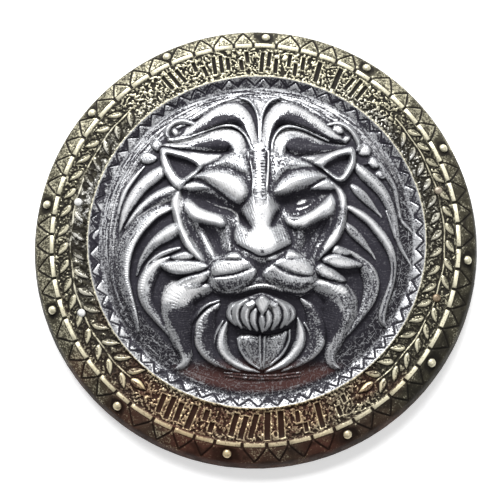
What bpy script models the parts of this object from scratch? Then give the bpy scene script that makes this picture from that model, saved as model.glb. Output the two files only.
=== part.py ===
"""Round costume shield with a lion's head: one moulded plastic shell, lying face up on its rim, with a hand grip
and an arm band riveted behind it. Units are metres, +Z is the way the face looks, +Y is the top of the head."""

import math

import bmesh
import bpy
import numpy as np

MM = 0.001

# ---------------------------------------------------------------- driving sizes, in millimetres
RIM_R = 235.1            # outer radius at the foot of the wall
RIM_EDGE = 3.2           # width of the flat edge that the shield rests on
WALL = 2.1               # thickness of the moulding
RIDGE_Z = 26.8           # height of the ridge between bevel and laurel band
RIDGE_IN, RIDGE_OUT = 210.2, 214.4
BEVEL_R, BEVEL_Z = 228.8, 19.6
BAND_Z = 25.8            # ground of the laurel band
BAND_IN, BAND_OUT = 178.0, 208.6
LIP_IN, LIP_OUT, LIP_Z = 175.2, 177.0, 28.0
FIELD_R, FIELD_Z = 164.8, 22.6
INNER_SHIFT = (1.9, 0.9)  # the inner rings sit this far off the rim's centre
AXIS = 5.0               # x of the lion's line of symmetry
DRAW_FROM = (20.0, -220.0, 1149.4)   # the carving's walls all draw towards this point
DRAWN_AT = 34.8          # height at which the carving's outlines below are true
STEPS = 84               # turns of the profile
FACES = 5200             # triangles of the carved shell, once its field is thinned out

STUD_ANGLES = (3, 33, 64, 96, 126, 155, 187, 219, 250, 280, 308, 335)  # degrees clockwise from the top
STUD_AT, STUD_R = 221.6, 4.7

STEM_R = 193.5           # laurel stem
LEAF_PITCH = 5.05        # degrees from one pair of leaves to the next
LEAF = (7.0, 2.9, 2.2)   # half length, half width, half height
BRANCHES = ((1, 55.0, 18), (-1, 314.5, 19))   # way round, first pair's angle, pairs

RIVETS = {
    "rivet_grip_upper": (-185.2, 39.6),
    "rivet_grip_lower": (-178.6, -77.6),
    "rivet_arm_upper": (192.4, 50.3),
    "rivet_arm_lower": (187.0, -63.0),
}
RIVET_R, RIVET_HOLE, RIVET_HEAD = 2.1, 2.4, 4.3
BAND_THICK, BAND_DEPTH = 2.6, 20.5   # strap thickness, and how far its back stands off the shell
GAP = 0.3


# ---------------------------------------------------------------- helpers
def clear_scene():
    for obj in list(bpy.data.objects):
        bpy.data.objects.remove(obj, do_unlink=True)


def new_collection(name):
    made = bpy.data.collections.new(name)
    bpy.context.scene.collection.children.link(made)
    return made


def material(name, colour, roughness, metallic):
    made = bpy.data.materials.new(name)
    made.use_nodes = True
    shader = made.node_tree.nodes["Principled BSDF"]
    shader.inputs["Base Color"].default_value = (*colour, 1.0)
    shader.inputs["Roughness"].default_value = roughness
    shader.inputs["Metallic"].default_value = metallic
    return made


def add_object(name, mesh, collection, finish=None):
    obj = bpy.data.objects.new(name, mesh)
    collection.objects.link(obj)
    if finish is not None:
        obj.data.materials.clear()
        obj.data.materials.append(finish)
    return obj


def from_bmesh(name, bm, collection, finish=None):
    mesh = bpy.data.meshes.new(name)
    bm.to_mesh(mesh)
    bm.free()
    return add_object(name, mesh, collection, finish)


def evaluated_copy(obj):
    """The object's shape with its modifiers worked in."""
    bpy.context.view_layer.update()
    graph = bpy.context.evaluated_depsgraph_get()
    return bpy.data.meshes.new_from_object(obj.evaluated_get(graph))


def on_ring(angle, radius):
    """A point on a circle, by its angle clockwise from the top."""
    a = math.radians(angle)
    return radius * math.sin(a), radius * math.cos(a)


def ease(low, high, value):
    t = np.clip((value - low) / (high - low), 0, 1)
    return t * t * (3 - 2 * t)


# ---------------------------------------------------------------- carving
def run(points, count=36):
    """A smooth run through control rows, whose third number is the half width there."""
    p = np.asarray(points, float)
    p = np.vstack([2 * p[0] - p[1], p, 2 * p[-1] - p[-2]])
    t = np.linspace(0, len(p) - 3, count)
    i = np.minimum(t.astype(int), len(p) - 4)
    f = (t - i)[:, None]
    a, b, c, d = p[i], p[i + 1], p[i + 2], p[i + 3]
    out = 0.5 * ((2 * b) + (c - a) * f + (2 * a - 5 * b + 4 * c - d) * f**2 + (3 * b - a - 3 * c + d) * f**3)
    out[:, 2:] = np.maximum(out[:, 2:], 0.3)
    return out


def loop(points, count=60):
    """A smooth closed outline through control points."""
    p = np.asarray(points, float)
    k = len(p)
    p = np.vstack([p[-1], p, p[0], p[1]])
    t = np.linspace(0, k, count, endpoint=False)
    i = np.minimum(t.astype(int), k - 1)
    f = (t - i)[:, None]
    a, b, c, d = p[i], p[i + 1], p[i + 2], p[i + 3]
    return 0.5 * ((2 * b) + (c - a) * f + (2 * a - 5 * b + 4 * c - d) * f**2 + (3 * b - a - 3 * c + d) * f**3)


def mirrored(points):
    return [(2 * AXIS - p[0], *p[1:]) for p in points]


class Carving:
    """Heights over the field: a soft base form, with raised forms laid over it, the highest one winning."""

    def __init__(self, x, y):
        self.x, self.y = x, y
        self.base = np.zeros_like(x)
        self.raised = np.zeros_like(x)

    def nearest(self, line, closed):
        """Distance to the line, how far along it, and which side."""
        best = np.full(len(self.x), 1e9)
        along = np.zeros(len(self.x))
        side = np.ones(len(self.x))
        count = len(line)
        for k in range(count if closed else count - 1):
            a, b = line[k], line[(k + 1) % count]
            dx, dy = b[0] - a[0], b[1] - a[1]
            u = np.clip(((self.x - a[0]) * dx + (self.y - a[1]) * dy) / (dx * dx + dy * dy + 1e-9), 0, 1)
            ex, ey = self.x - a[0] - u * dx, self.y - a[1] - u * dy
            gap = ex * ex + ey * ey
            nearer = gap < best
            best[nearer], along[nearer] = gap[nearer], k + u[nearer]
            side[nearer] = np.sign(dx * ey - dy * ex)[nearer]
        return np.sqrt(best), along, side

    def lock(self, points, height, crest=0.0, both=False):
        """A swept lock of hair: its crest stands at crest, from -1 to 1 across it."""
        line = run(points)
        gap, along, side = self.nearest(line, False)
        width = np.interp(along, np.arange(len(line)), line[:, 2])
        u = side * gap / width
        rise = np.where(u > crest, (1 - u) / (1 - crest), (1 + u) / (1 + crest)).clip(0, 1)
        top = height * (width / line[:, 2].max()) ** 0.6 * np.sin(rise * np.pi / 2) ** 0.9
        self.raised = np.where(np.abs(u) < 1, np.maximum(self.raised, top), self.raised)
        if both:
            self.lock(mirrored(points), height, -crest)

    def cushion(self, points, height, edge, both=False):
        """A rounded form inside a closed outline, whose side rounds over within edge."""
        line = loop(points)
        gap, _, _ = self.nearest(line, True)
        inside = np.zeros(len(self.x), bool)
        for k in range(len(line)):
            (x1, y1), (x2, y2) = line[k, :2], line[(k + 1) % len(line), :2]
            if y1 != y2:
                crossed = (y1 > self.y) != (y2 > self.y)
                inside ^= crossed & (self.x < (x2 - x1) * (self.y - y1) / (y2 - y1) + x1)
        rise = np.clip(np.where(inside, gap, 0) / edge, 0, 1)
        top = height * (1 - (1 - rise) ** 2) ** 0.6
        self.raised = np.where(inside, np.maximum(self.raised, top), self.raised) if height > 0 else self.raised + top
        if both:
            self.cushion(mirrored(points), height, edge)

    def swell(self, points, heights, power=2.4, both=False):
        """A soft rise or dip along a run."""
        line = run(points)
        gap, along, _ = self.nearest(line, False)
        width = np.interp(along, np.arange(len(line)), line[:, 2])
        top = np.interp(along / (len(line) - 1), np.linspace(0, 1, len(heights)), heights)
        self.base += top * np.exp(-((gap / width) ** power))
        if both:
            self.swell(mirrored(points), heights, power)

    def mound(self, y, half_x, half_y, height, power):
        u, v = (self.x - AXIS) / half_x, (self.y - y) / half_y
        self.base += height * np.exp(-((u * u + v * v) ** (power / 2)))


def lion_height(x, y):
    """How far the lion's head stands above the field, at points drawn square-on."""
    c = Carving(x, y)
    # bed of the mane, face, forehead, muzzle, chin, nose bridge, eye sockets, cheek hollows
    c.base += 9.0 * (1 - ease(70, 152, np.hypot(x - 2, y - 1))) ** 0.8
    c.mound(8, 84, 92, 7.0, 4)
    c.mound(60, 62, 34, 4.0, 3)
    c.mound(-34, 52, 27, 10.0, 3.4)
    c.mound(-74, 36, 26, 3.0, 3)
    c.swell([(AXIS, 46, 13), (AXIS, 25, 13), (AXIS + 1, 5, 17), (AXIS + 1, -8, 19)], [3.5, 6.5, 9.0, 10.5])
    c.swell([(-70, 43, 7), (-48, 34, 11), (-20, 25, 8)], [-4, -7.5, -6], both=True)
    c.swell([(-58, 7, 9), (-48, -3, 10), (-38, -13, 7)], [-4.5, -5.5, -4], both=True)
    # the four great locks over the forehead, and the curls they end in
    c.lock([(-12, 91, 6), (-18, 103, 11), (-30, 103, 13), (-46, 100, 10.5), (-64, 97, 6.5), (-92, 97, 1.5)], 8.5, 0.2, both=True)
    c.lock([(-1, 91, 4), (-5, 116, 7), (-20, 134, 12.5), (-39, 127, 12), (-58, 115, 9.5), (-86, 103, 2)], 9.5, 0.2, both=True)
    c.cushion([(-90, 106), (-92, 116), (-82, 122), (-76, 116), (-82, 108)], 5.0, 5, both=True)
    # crescents down the sides of the mane
    c.lock([(-96, 77, 1.5), (-125, 45, 8.5), (-138, 0, 7.5), (-137, -45, 6), (-121, -96, 1.5)], 6.0, 0.3, both=True)
    c.lock([(-91, 53, 1.5), (-108, 40, 5.5), (-122, 22, 5), (-130, 0, 1.5)], 6.0, 0.3, both=True)
    c.lock([(-91, 30, 1.5), (-116, 10, 5), (-129, -18, 4), (-130, -50, 3), (-122, -84, 1.5)], 6.0, 0.3, both=True)
    c.lock([(-84, 15, 3), (-103, -3, 6.5), (-117, -25, 5), (-121, -50, 1.5)], 6.5, 0.3, both=True)
    c.lock([(-84, -12, 1.5), (-104, -29, 7), (-112, -52, 8.5), (-102, -80, 6), (-79, -118, 1.5)], 7.0, 0.3, both=True)
    c.lock([(-50, -52, 4), (-78, -59, 12), (-86, -72, 12), (-78, -102, 7.5), (-70, -130, 4.5), (-80, -137, 1.5)], 9.0, -0.4, both=True)
    # beard: two pairs of crescents round a pointed leaf, with a low bar under it
    c.lock([(-37, -67, 1.5), (-51, -90, 8.5), (-52, -112, 9), (-34, -132, 5.5), (-16, -139, 1.8)], 7.0, -0.6, both=True)
    c.lock([(-31, -88, 1.5), (-35.5, -106, 4.8), (-30, -124, 5.5), (-12, -135, 4), (2, -139, 1.5)], 7.0, -0.4, both=True)
    c.cushion([(-19, -104), (-15, -124), (5, -138), (25, -124), (29, -104), (5, -100)], 5.5, 12)
    c.lock([(-30, -142, 1.2), (5, -144.5, 2.4), (40, -142, 1.2)], 3.0)
    # forehead planes, ears with their hollows, brows and eyelids
    c.cushion([(-45, 75), (-26, 92), (-6, 91), (-4, 67), (-20, 68)], 5.0, 9, both=True)
    c.cushion([(-98, 94), (-97, 74), (-86, 54), (-79, 52), (-58, 76), (-64, 86)], 9.5, 5, both=True)
    c.cushion([(-93, 88), (-88, 72), (-78, 60), (-63, 76)], -8.0, 6, both=True)
    c.cushion([(-74, 60), (-55, 70.5), (-33, 70), (-10, 56), (-8, 44), (-19, 36), (-40, 49), (-58, 59)], 9.5, 13, both=True)
    c.cushion([(-79, 50), (-66, 57.5), (-48, 50), (-62, 46)], 6.5, 5, both=True)
    c.cushion([(-62, 39), (-46, 37), (-32, 28), (-46, 26)], 4.5, 6, both=True)
    # cheekbones, the long bands at the sides of the face, nose
    c.lock([(-74, 37, 2.5), (-58, 20, 7), (-42, 14.5, 6), (-28, 14, 2.5)], 6.5, -0.3, both=True)
    c.lock([(-79, 48, 3), (-82, 24, 6), (-73, 2, 6), (-59, -16, 4.5), (-49, -29, 1.5)], 7.5, -0.2, both=True)
    c.cushion([(-6, 14), (-21, 3), (-22, -7), (3, -20.5), (8, -20.5), (32, -7), (31, 3), (16, 14), (5, 24)], 7.0, 8)
    # muzzle pads, lower lip, whisker tufts, bud under the lip
    c.cushion([(-46, -35), (-38, -26), (-14, -26), (-8, -33), (-24, -40), (-42, -41)], 6.5, 6.5, both=True)
    c.cushion([(-42, -46), (-18, -41), (0, -39), (-12, -51), (-26, -56), (-38, -54)], 6.0, 6.5, both=True)
    c.lock([(-36, -63, 1.2), (-14, -55, 2.8), (5, -51, 3), (24, -55, 2.8), (46, -63, 1.2)], 4.5)
    c.cushion([(-98, -29), (-72, -26.5), (-51, -31), (-68, -38.5), (-86, -38)], 7.5, 6, both=True)
    c.cushion([(-50, -36), (-66, -41), (-81, -48), (-62, -51)], 7.0, 6, both=True)
    c.cushion([(-84, -21), (-72, -17), (-64, -21), (-76, -24.5)], 5.5, 4, both=True)
    c.cushion([(-29, -77), (-24, -68), (5, -60), (34, -68), (39, -77), (30, -92), (5, -100), (-20, -92)], 11.0, 15)
    return c.base + c.raised


def drawn(x, y, z_from, z_to):
    """Slides points along the draw lines from one height to another."""
    cx, cy, cz = DRAW_FROM
    k = (cz - z_to) / (cz - z_from)
    return cx + (x - cx) * k, cy + (y - cy) * k


def carve(x, y, hollow):
    """Where points of the field go once the lion is carved: the face itself, or the hollow behind it."""
    px, py = drawn(x, y, FIELD_Z, DRAWN_AT)
    if hollow:
        # the hollow follows the lowest height within reach, so that the wall never gets thin at a steep side
        lift = lion_height(px, py)
        for reach in (2.6, 5.2):
            for k in range(8):
                a = math.pi * k / 4
                lift = np.minimum(lift, lion_height(px + reach * math.cos(a), py + reach * math.sin(a)))
        z = FIELD_Z - WALL - 0.5 * np.clip(lift / 4, 0, 1) + lift
    else:
        z = FIELD_Z + lion_height(px, py)
    qx, qy = drawn(px, py, DRAWN_AT, z)
    return qx, qy, z


# ---------------------------------------------------------------- the shell
def shell_profile():
    """One closed section, from the middle of the face out over the rim and back behind: (radius, height, part)."""
    face = [(r, FIELD_Z) for r in np.arange(0, FIELD_R - 1, 5.4)]
    face += [(FIELD_R, FIELD_Z), (LIP_IN, LIP_Z), (LIP_OUT, LIP_Z), (BAND_IN, BAND_Z)]
    face += [(BAND_OUT, BAND_Z), (RIDGE_IN, RIDGE_Z), (RIDGE_OUT, RIDGE_Z), (BEVEL_R, BEVEL_Z)]
    face += [(BEVEL_R + 2.0, BEVEL_Z - 2.4), (RIM_R, 0)]
    back = [(RIM_R - RIM_EDGE, 0), (BEVEL_R - 1.2, BEVEL_Z - 4.0)]
    back += [(RIDGE_OUT - 0.6, RIDGE_Z - WALL - 0.9), (BAND_OUT, BAND_Z - WALL), (BAND_IN - 2.4, BAND_Z - WALL)]
    back += [(FIELD_R + 0.4, FIELD_Z - WALL)]
    back += [(r, FIELD_Z - WALL) for r in np.arange(FIELD_R - 5, -1, -7.4)]
    if back[-1][0] > 0:
        back[-1] = (0.0, back[-1][1])
    return [(r, z, 0) for r, z in face] + [(r, z, 1) for r, z in back]


def turned(name, section, steps, collection):
    """A profile turned about Z by a Screw modifier, as a closed mesh."""
    bm = bmesh.new()
    points = [bm.verts.new((r * MM, 0, z * MM)) for r, z, _ in section]
    for a, b in zip(points, points[1:]):
        bm.edges.new((a, b))
    guide = from_bmesh(name + "_profile", bm, collection)
    screw = guide.modifiers.new("turn", "SCREW")
    screw.steps = screw.render_steps = steps
    screw.use_merge_vertices = True
    screw.merge_threshold = 0.00001
    mesh = evaluated_copy(guide)
    bpy.data.objects.remove(guide, do_unlink=True)
    return mesh


def make_shield(collection, helpers, finish):
    section = shell_profile()
    mesh = turned("shield", section, STEPS, helpers)
    bm = bmesh.new()
    bm.from_mesh(mesh)
    bmesh.ops.remove_doubles(bm, verts=bm.verts, dist=0.000005)
    # the carved field takes a finer net than the turned rim
    inner = [e for e in bm.edges if all(math.hypot(v.co.x, v.co.y) < (FIELD_R + 0.6) * MM for v in e.verts)]
    bmesh.ops.subdivide_edges(bm, edges=inner, cuts=1, use_grid_fill=True)
    co = np.array([v.co for v in bm.verts]) / MM
    radius = np.hypot(co[:, 0], co[:, 1])
    behind = co[:, 2] < np.interp(radius, [0, FIELD_R, BAND_IN, BAND_OUT, RIDGE_OUT, BEVEL_R], [FIELD_Z - 1, FIELD_Z - 1, BAND_Z - 1, BAND_Z - 1, BAND_Z - 1, BEVEL_Z - 2])
    fade = 1 - ease(BAND_IN, BAND_OUT - 3, radius)
    co[:, 0] += INNER_SHIFT[0] * fade
    co[:, 1] += INNER_SHIFT[1] * fade
    field = radius < FIELD_R - 1
    for hollow, chosen in ((False, field & ~behind), (True, field & behind)):
        x, y, z = carve(co[chosen, 0], co[chosen, 1], hollow)
        co[chosen] = np.column_stack([x, y, z])
    for vert, place in zip(bm.verts, co * MM):
        vert.co = place
    bmesh.ops.recalc_face_normals(bm, faces=bm.faces)
    bmesh.ops.triangulate(bm, faces=bm.faces)
    shield = from_bmesh("shield", bm, collection, finish)
    carved = shield.vertex_groups.new(name="carved_field")
    carved.add([int(i) for i in np.flatnonzero(radius < FIELD_R - 1)], 1.0, "REPLACE")
    thin = shield.modifiers.new("fewer_faces", "DECIMATE")
    thin.ratio = FACES / len(shield.data.polygons)
    thin.vertex_group = carved.name
    return shield


def add_studs(bm):
    """The twelve round studs, each a sphere cut off flat just under the bevel's face."""
    slope = math.atan2(RIDGE_Z - BEVEL_Z, BEVEL_R - RIDGE_OUT)
    height = RIDGE_Z - (STUD_AT - RIDGE_OUT) * math.tan(slope)
    for angle in STUD_ANGLES:
        x, y = on_ring(angle, STUD_AT)
        one = bmesh.new()
        bmesh.ops.create_uvsphere(one, u_segments=8, v_segments=6, radius=STUD_R * MM)
        cut = bmesh.ops.bisect_plane(one, geom=one.verts[:] + one.edges[:] + one.faces[:], plane_co=(0, 0, -0.0011), plane_no=(0, 0, 1), clear_inner=True)
        bmesh.ops.holes_fill(one, edges=[e for e in cut["geom_cut"] if isinstance(e, bmesh.types.BMEdge)])
        # tip the stud square to the bevel, then turn it to its place round the rim
        tip = np.array([[math.cos(slope), 0, math.sin(slope)], [0, 1, 0], [-math.sin(slope), 0, math.cos(slope)]])
        a = math.radians(90 - angle)
        turn = np.array([[math.cos(a), -math.sin(a), 0], [math.sin(a), math.cos(a), 0], [0, 0, 1]])
        both = turn @ tip
        for v in one.verts:
            v.co = tuple(both @ np.array(v.co) + np.array([x, y, height]) * MM)
        part = bpy.data.meshes.new("one_stud")
        one.to_mesh(part)
        one.free()
        bm.from_mesh(part)
        bpy.data.meshes.remove(part)


def add_leaves(bm):
    """Laurel: pairs of pointed leaves along each branch, and one leaf at its tip."""
    holes = list(RIVETS.values())

    def leaf(angle, radius, lean):
        x, y = on_ring(angle, radius)
        if any(math.hypot(x - hx, y - hy) < RIVET_HEAD + LEAF[0] for hx, hy in holes):
            return
        one = bmesh.new()
        bmesh.ops.create_uvsphere(one, u_segments=4, v_segments=4, radius=1.0)
        a = math.radians(lean)
        for v in one.verts:
            long, wide = v.co.z * LEAF[0], v.co.x * LEAF[1]
            v.co = ((x + long * math.cos(a) - wide * math.sin(a)) * MM, (y + long * math.sin(a) + wide * math.cos(a)) * MM, (BAND_Z + 0.15 + v.co.y * LEAF[2]) * MM)
        part = bpy.data.meshes.new("one_leaf")
        one.to_mesh(part)
        one.free()
        bm.from_mesh(part)
        bpy.data.meshes.remove(part)

    for way, first, pairs in BRANCHES:
        for k in range(pairs):
            angle = first + way * LEAF_PITCH * k
            along = 90 - angle - 90 * way      # direction of growth, down the rim
            leaf(angle + way * 1.5, STEM_R + 9.2, along + way * 42)
            leaf(angle + way * 1.5, STEM_R - 7.8, along - way * 42)
        angle = first + way * LEAF_PITCH * (pairs - 0.3)
        leaf(angle, STEM_R - 1, 90 - angle - 90 * way)


def raised_bodies(helpers):
    bm = bmesh.new()
    add_studs(bm)
    add_leaves(bm)
    bmesh.ops.recalc_face_normals(bm, faces=bm.faces)
    return from_bmesh("studs_and_leaves", bm, helpers)


def hole_cutters(helpers):
    bm = bmesh.new()
    for x, y in RIVETS.values():
        made = bmesh.ops.create_cone(bm, cap_ends=True, segments=12, radius1=RIVET_HOLE * MM, radius2=RIVET_HOLE * MM, depth=0.060)
        for v in made["verts"]:
            v.co.x += x * MM
            v.co.y += y * MM
            v.co.z += RIDGE_Z * MM
    return from_bmesh("rivet_holes", bm, helpers)


def boolean(obj, name, other, operation):
    made = obj.modifiers.new(name, "BOOLEAN")
    made.operation = operation
    made.object = other


# ---------------------------------------------------------------- grip, arm band, rivets
def make_band(name, top, bottom, width, collection, holes, finish):
    """A moulded strap: two flat feet against the shell's back, and an arch between them to put a hand through."""
    (x1, y1), (x2, y2) = top, bottom
    half = math.hypot(x1 - x2, y1 - y2) / 2
    foot, corner = 9.0, 15.0
    roof = BAND_Z - WALL - GAP
    outer, inner = [], []
    for side in (-1, 1):
        ends = []
        steps = 5
        for k in range(steps + 1):
            t = k / steps
            s = half - foot * 0.5 - (corner * 1.6) * t
            drop = (BAND_DEPTH - BAND_THICK) * (3 * t * t - 2 * t**3)
            ends.append((side * s, drop))
        inner.append(ends)
    # centre line of the strap, foot to foot
    line = [(-half - foot, 0.0)] + [(p, d) for p, d in inner[0]] + [(p, d) for p, d in reversed(inner[1])] + [(half + foot, 0.0)]
    upper = [(s * MM, (roof - d) * MM) for s, d in line]
    lower = []
    for k, (s, d) in enumerate(line):
        a = line[max(0, k - 1)]
        b = line[min(len(line) - 1, k + 1)]
        ds, dd = b[0] - a[0], b[1] - a[1]
        size = math.hypot(ds, dd)
        lower.append(((s - BAND_THICK * dd / size) * MM, (roof - d - BAND_THICK * ds / size) * MM))
    outline = bpy.data.curves.new(name, "CURVE")
    outline.dimensions = "2D"
    outline.fill_mode = "BOTH"
    outline.extrude = width / 2 * MM
    spline = outline.splines.new("POLY")
    rim = upper + lower[::-1]
    spline.points.add(len(rim) - 1)
    for point, (s, z) in zip(spline.points, rim):
        point.co = (s, z, 0, 1)
    spline.use_cyclic_u = True
    guide = bpy.data.objects.new(name + "_outline", outline)
    collection.objects.link(guide)
    mesh = evaluated_copy(guide)
    bpy.data.objects.remove(guide, do_unlink=True)
    bm = bmesh.new()
    bm.from_mesh(mesh)
    bmesh.ops.remove_doubles(bm, verts=bm.verts, dist=0.000005)
    # the curve lies in its own XY plane: stand it up, then turn it along the line between its rivets
    heading = math.atan2(y1 - y2, x1 - x2)
    mx, my = (x1 + x2) / 2 * MM, (y1 + y2) / 2 * MM
    c, s = math.cos(heading), math.sin(heading)
    for v in bm.verts:
        along, up, across = v.co.x, v.co.y, v.co.z
        v.co = (mx + along * c - across * s, my + along * s + across * c, up)
    bmesh.ops.recalc_face_normals(bm, faces=bm.faces)
    band = from_bmesh(name, bm, collection, finish)
    boolean(band, "rivet_holes", holes, "DIFFERENCE")
    return band


def make_rivet(name, place, collection, finish):
    """Round head on the face, shank through shell and strap, and a flat tail behind."""
    top = BAND_Z + GAP
    tail = BAND_Z - WALL - GAP - BAND_THICK - GAP
    section = [(0, top + 2.6)]
    section += [(RIVET_HEAD * math.sin(math.radians(a)), top + 0.4 + 2.2 * math.cos(math.radians(a))) for a in (30, 60, 90)]
    section += [(RIVET_HEAD, top), (RIVET_R, top), (RIVET_R, tail), (RIVET_HEAD - 0.6, tail), (RIVET_HEAD - 0.6, tail - 1.2), (0, tail - 1.2)]
    mesh = turned(name, [(r, z, 0) for r, z in section], 8, collection)
    bm = bmesh.new()
    bm.from_mesh(mesh)
    bmesh.ops.remove_doubles(bm, verts=bm.verts, dist=0.000005)
    bmesh.ops.recalc_face_normals(bm, faces=bm.faces)
    rivet = from_bmesh(name, bm, collection, finish)
    rivet.location = (place[0] * MM, place[1] * MM, 0)
    return rivet


# ---------------------------------------------------------------- build
def main():
    clear_scene()
    parts = new_collection("roman_shield")
    helpers = new_collection("cutters")
    paint = material("antique_silver_and_gold", (0.42, 0.40, 0.40), 0.42, 0.75)
    black = material("black_plastic", (0.03, 0.03, 0.03), 0.5, 0.0)
    steel = material("rivet_metal", (0.78, 0.78, 0.80), 0.3, 0.9)

    holes = hole_cutters(helpers)
    raised = raised_bodies(helpers)
    shield = make_shield(parts, helpers, paint)
    boolean(shield, "studs_and_leaves", raised, "UNION")
    boolean(shield, "rivet_holes", holes, "DIFFERENCE")
    make_band("hand_grip", RIVETS["rivet_grip_upper"], RIVETS["rivet_grip_lower"], 20.0, parts, holes, black)
    make_band("arm_band", RIVETS["rivet_arm_upper"], RIVETS["rivet_arm_lower"], 22.0, parts, holes, black)
    for name, place in RIVETS.items():
        make_rivet(name, place, parts, steel)
    for helper in helpers.objects:
        helper.hide_render = True
        helper.display_type = "WIRE"
    for obj in parts.objects:
        obj.data.shade_smooth()
        obj.data.set_sharp_from_angle(angle=math.radians(35))


main()
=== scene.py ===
"""Looks for the lion shield: a finely carved shell, its paint, straps and rivets, floor, light and camera."""

import math

import bmesh
import bpy
import numpy as np
from mathutils import Matrix, Vector


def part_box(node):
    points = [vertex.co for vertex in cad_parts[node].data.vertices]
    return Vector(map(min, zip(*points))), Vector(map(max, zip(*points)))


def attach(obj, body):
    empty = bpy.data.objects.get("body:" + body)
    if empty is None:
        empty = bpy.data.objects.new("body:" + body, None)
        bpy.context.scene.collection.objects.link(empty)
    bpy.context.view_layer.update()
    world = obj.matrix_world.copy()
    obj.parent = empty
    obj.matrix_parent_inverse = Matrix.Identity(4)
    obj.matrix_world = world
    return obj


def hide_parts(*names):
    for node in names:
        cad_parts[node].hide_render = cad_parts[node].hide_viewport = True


MM = 0.001
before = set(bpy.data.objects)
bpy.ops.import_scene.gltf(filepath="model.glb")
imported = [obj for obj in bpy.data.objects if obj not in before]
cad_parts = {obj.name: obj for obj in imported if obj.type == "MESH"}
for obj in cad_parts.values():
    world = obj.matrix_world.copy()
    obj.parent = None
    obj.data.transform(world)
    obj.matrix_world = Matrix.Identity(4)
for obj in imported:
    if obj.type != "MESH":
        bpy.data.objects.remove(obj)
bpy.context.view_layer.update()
shell_low, shell_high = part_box("shield")

# ---------------------------------------------------------------- sizes shared with the construction, in millimetres
RIM_R = (shell_high.x - shell_low.x) / 2 / MM
RIM_EDGE = 3.2
WALL = 2.1
RIDGE_Z = 26.8
RIDGE_IN, RIDGE_OUT = 210.2, 214.4
BEVEL_R, BEVEL_Z = 228.8, 19.6
BAND_Z = 25.8
BAND_IN, BAND_OUT = 178.0, 208.6
LIP_IN, LIP_OUT, LIP_Z = 175.2, 177.0, 28.0
FIELD_R, FIELD_Z = 164.8, 22.6
INNER_SHIFT = (1.9, 0.9)
AXIS = 5.0
DRAW_FROM = (20.0, -220.0, 1149.4)
DRAWN_AT = 34.8
STUD_ANGLES = (3.2, 32.8, 64.1, 96.0, 125.6, 155.0, 187.2, 219.0, 250.5, 279.8, 308.5, 334.8)
STUD_AT, STUD_R = 221.6, 4.7
SLOTS = (6.4, 13.3, 18.9, 24.5, 30.5, 35.8, 43.1, 48.6, 54.5, 60.5, 67.7, 73.6, 79.8, 85.9, 92.8, 98.9, 104.7, 110.4, 116.3, 122.7, 128.6, 133.9, 139.9, 145.9, 151.9, 157.7, 164.1, 170.8, 176.7, 183.4, 190.9, 196.6, 202.8, 208.9, 216.5, 221.7, 228.1, 233.9, 239.9, 247.1, 252.9, 258.8, 265.6, 271.5, 276.9, 282.9, 288.9, 295.2, 301.3, 308.4, 315.5, 321.5, 328.0, 334.8, 342.2, 348.0, 354.0, 359.7)
RIVETS = {"rivet_grip_upper": (-185.2, 39.6), "rivet_grip_lower": (-178.6, -77.6), "rivet_arm_upper": (192.4, 50.3), "rivet_arm_lower": (187.0, -63.0)}

LEVEL, SPARE = 30.0, 9.8
TURN = 2048              # points round the rim in the fine net
FINE = 0.5               # spacing of the lion's own net
TRIANGLES = 186000


# ---------------------------------------------------------------- small tools
def curve(points, n=44):
    """A smooth run through rows (x, y, half width)."""
    p = np.asarray(points, float)
    p = np.vstack([2 * p[0] - p[1], p, 2 * p[-1] - p[-2]])
    segs = len(p) - 3
    t = np.linspace(0, segs, n)
    i = np.minimum(t.astype(int), segs - 1)
    f = (t - i)[:, None]
    a, b, c, d = p[i], p[i + 1], p[i + 2], p[i + 3]
    q = 0.5 * ((2 * b) + (c - a) * f + (2 * a - 5 * b + 4 * c - d) * f**2 + (3 * b - a - 3 * c + d) * f**3)
    if q.shape[1] > 2:
        q[:, 2:] = np.maximum(q[:, 2:], 0.2)
    return q


def ring_curve(points, n=72):
    """A smooth closed outline through points."""
    p = np.asarray(points, float)
    k = len(p)
    p = np.vstack([p[-1], p, p[0], p[1]])
    t = np.linspace(0, k, n, endpoint=False)
    i = np.minimum(t.astype(int), k - 1)
    f = (t - i)[:, None]
    a, b, c, d = p[i], p[i + 1], p[i + 2], p[i + 3]
    return 0.5 * ((2 * b) + (c - a) * f + (2 * a - 5 * b + 4 * c - d) * f**2 + (3 * b - a - 3 * c + d) * f**3)


def sstep(a, b, x):
    t = np.clip((x - a) / (b - a), 0, 1)
    return t * t * (3 - 2 * t)


def bell(x, w):
    return np.exp(-((x / w) ** 2))


def lattice(ix, iy, seed):
    """A repeatable random number between 0 and 1 for each whole-number place."""
    h = (ix * 374761393 + iy * 668265263 + seed * 974634777) & 0xFFFFFFFF
    h = ((h ^ (h >> 13)) * 1274126177) & 0xFFFFFFFF
    return ((h ^ (h >> 16)) & 0xFFFF) / 65535.0


def noise(x, y, seed=0, wrap=None):
    """Smooth value noise, one cell per unit. wrap makes x repeat after that many cells."""
    ix, iy = np.floor(x).astype(np.int64), np.floor(y).astype(np.int64)
    fx, fy = x - ix, y - iy
    fx, fy = fx * fx * fx * (fx * (fx * 6 - 15) + 10), fy * fy * fy * (fy * (fy * 6 - 15) + 10)
    ix1 = ix + 1
    if wrap:
        ix, ix1 = ix % wrap, ix1 % wrap
    a, b = lattice(ix, iy, seed), lattice(ix1, iy, seed)
    c, d = lattice(ix, iy + 1, seed), lattice(ix1, iy + 1, seed)
    return (a + (b - a) * fx) + ((c + (d - c) * fx) - (a + (b - a) * fx)) * fy


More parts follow.
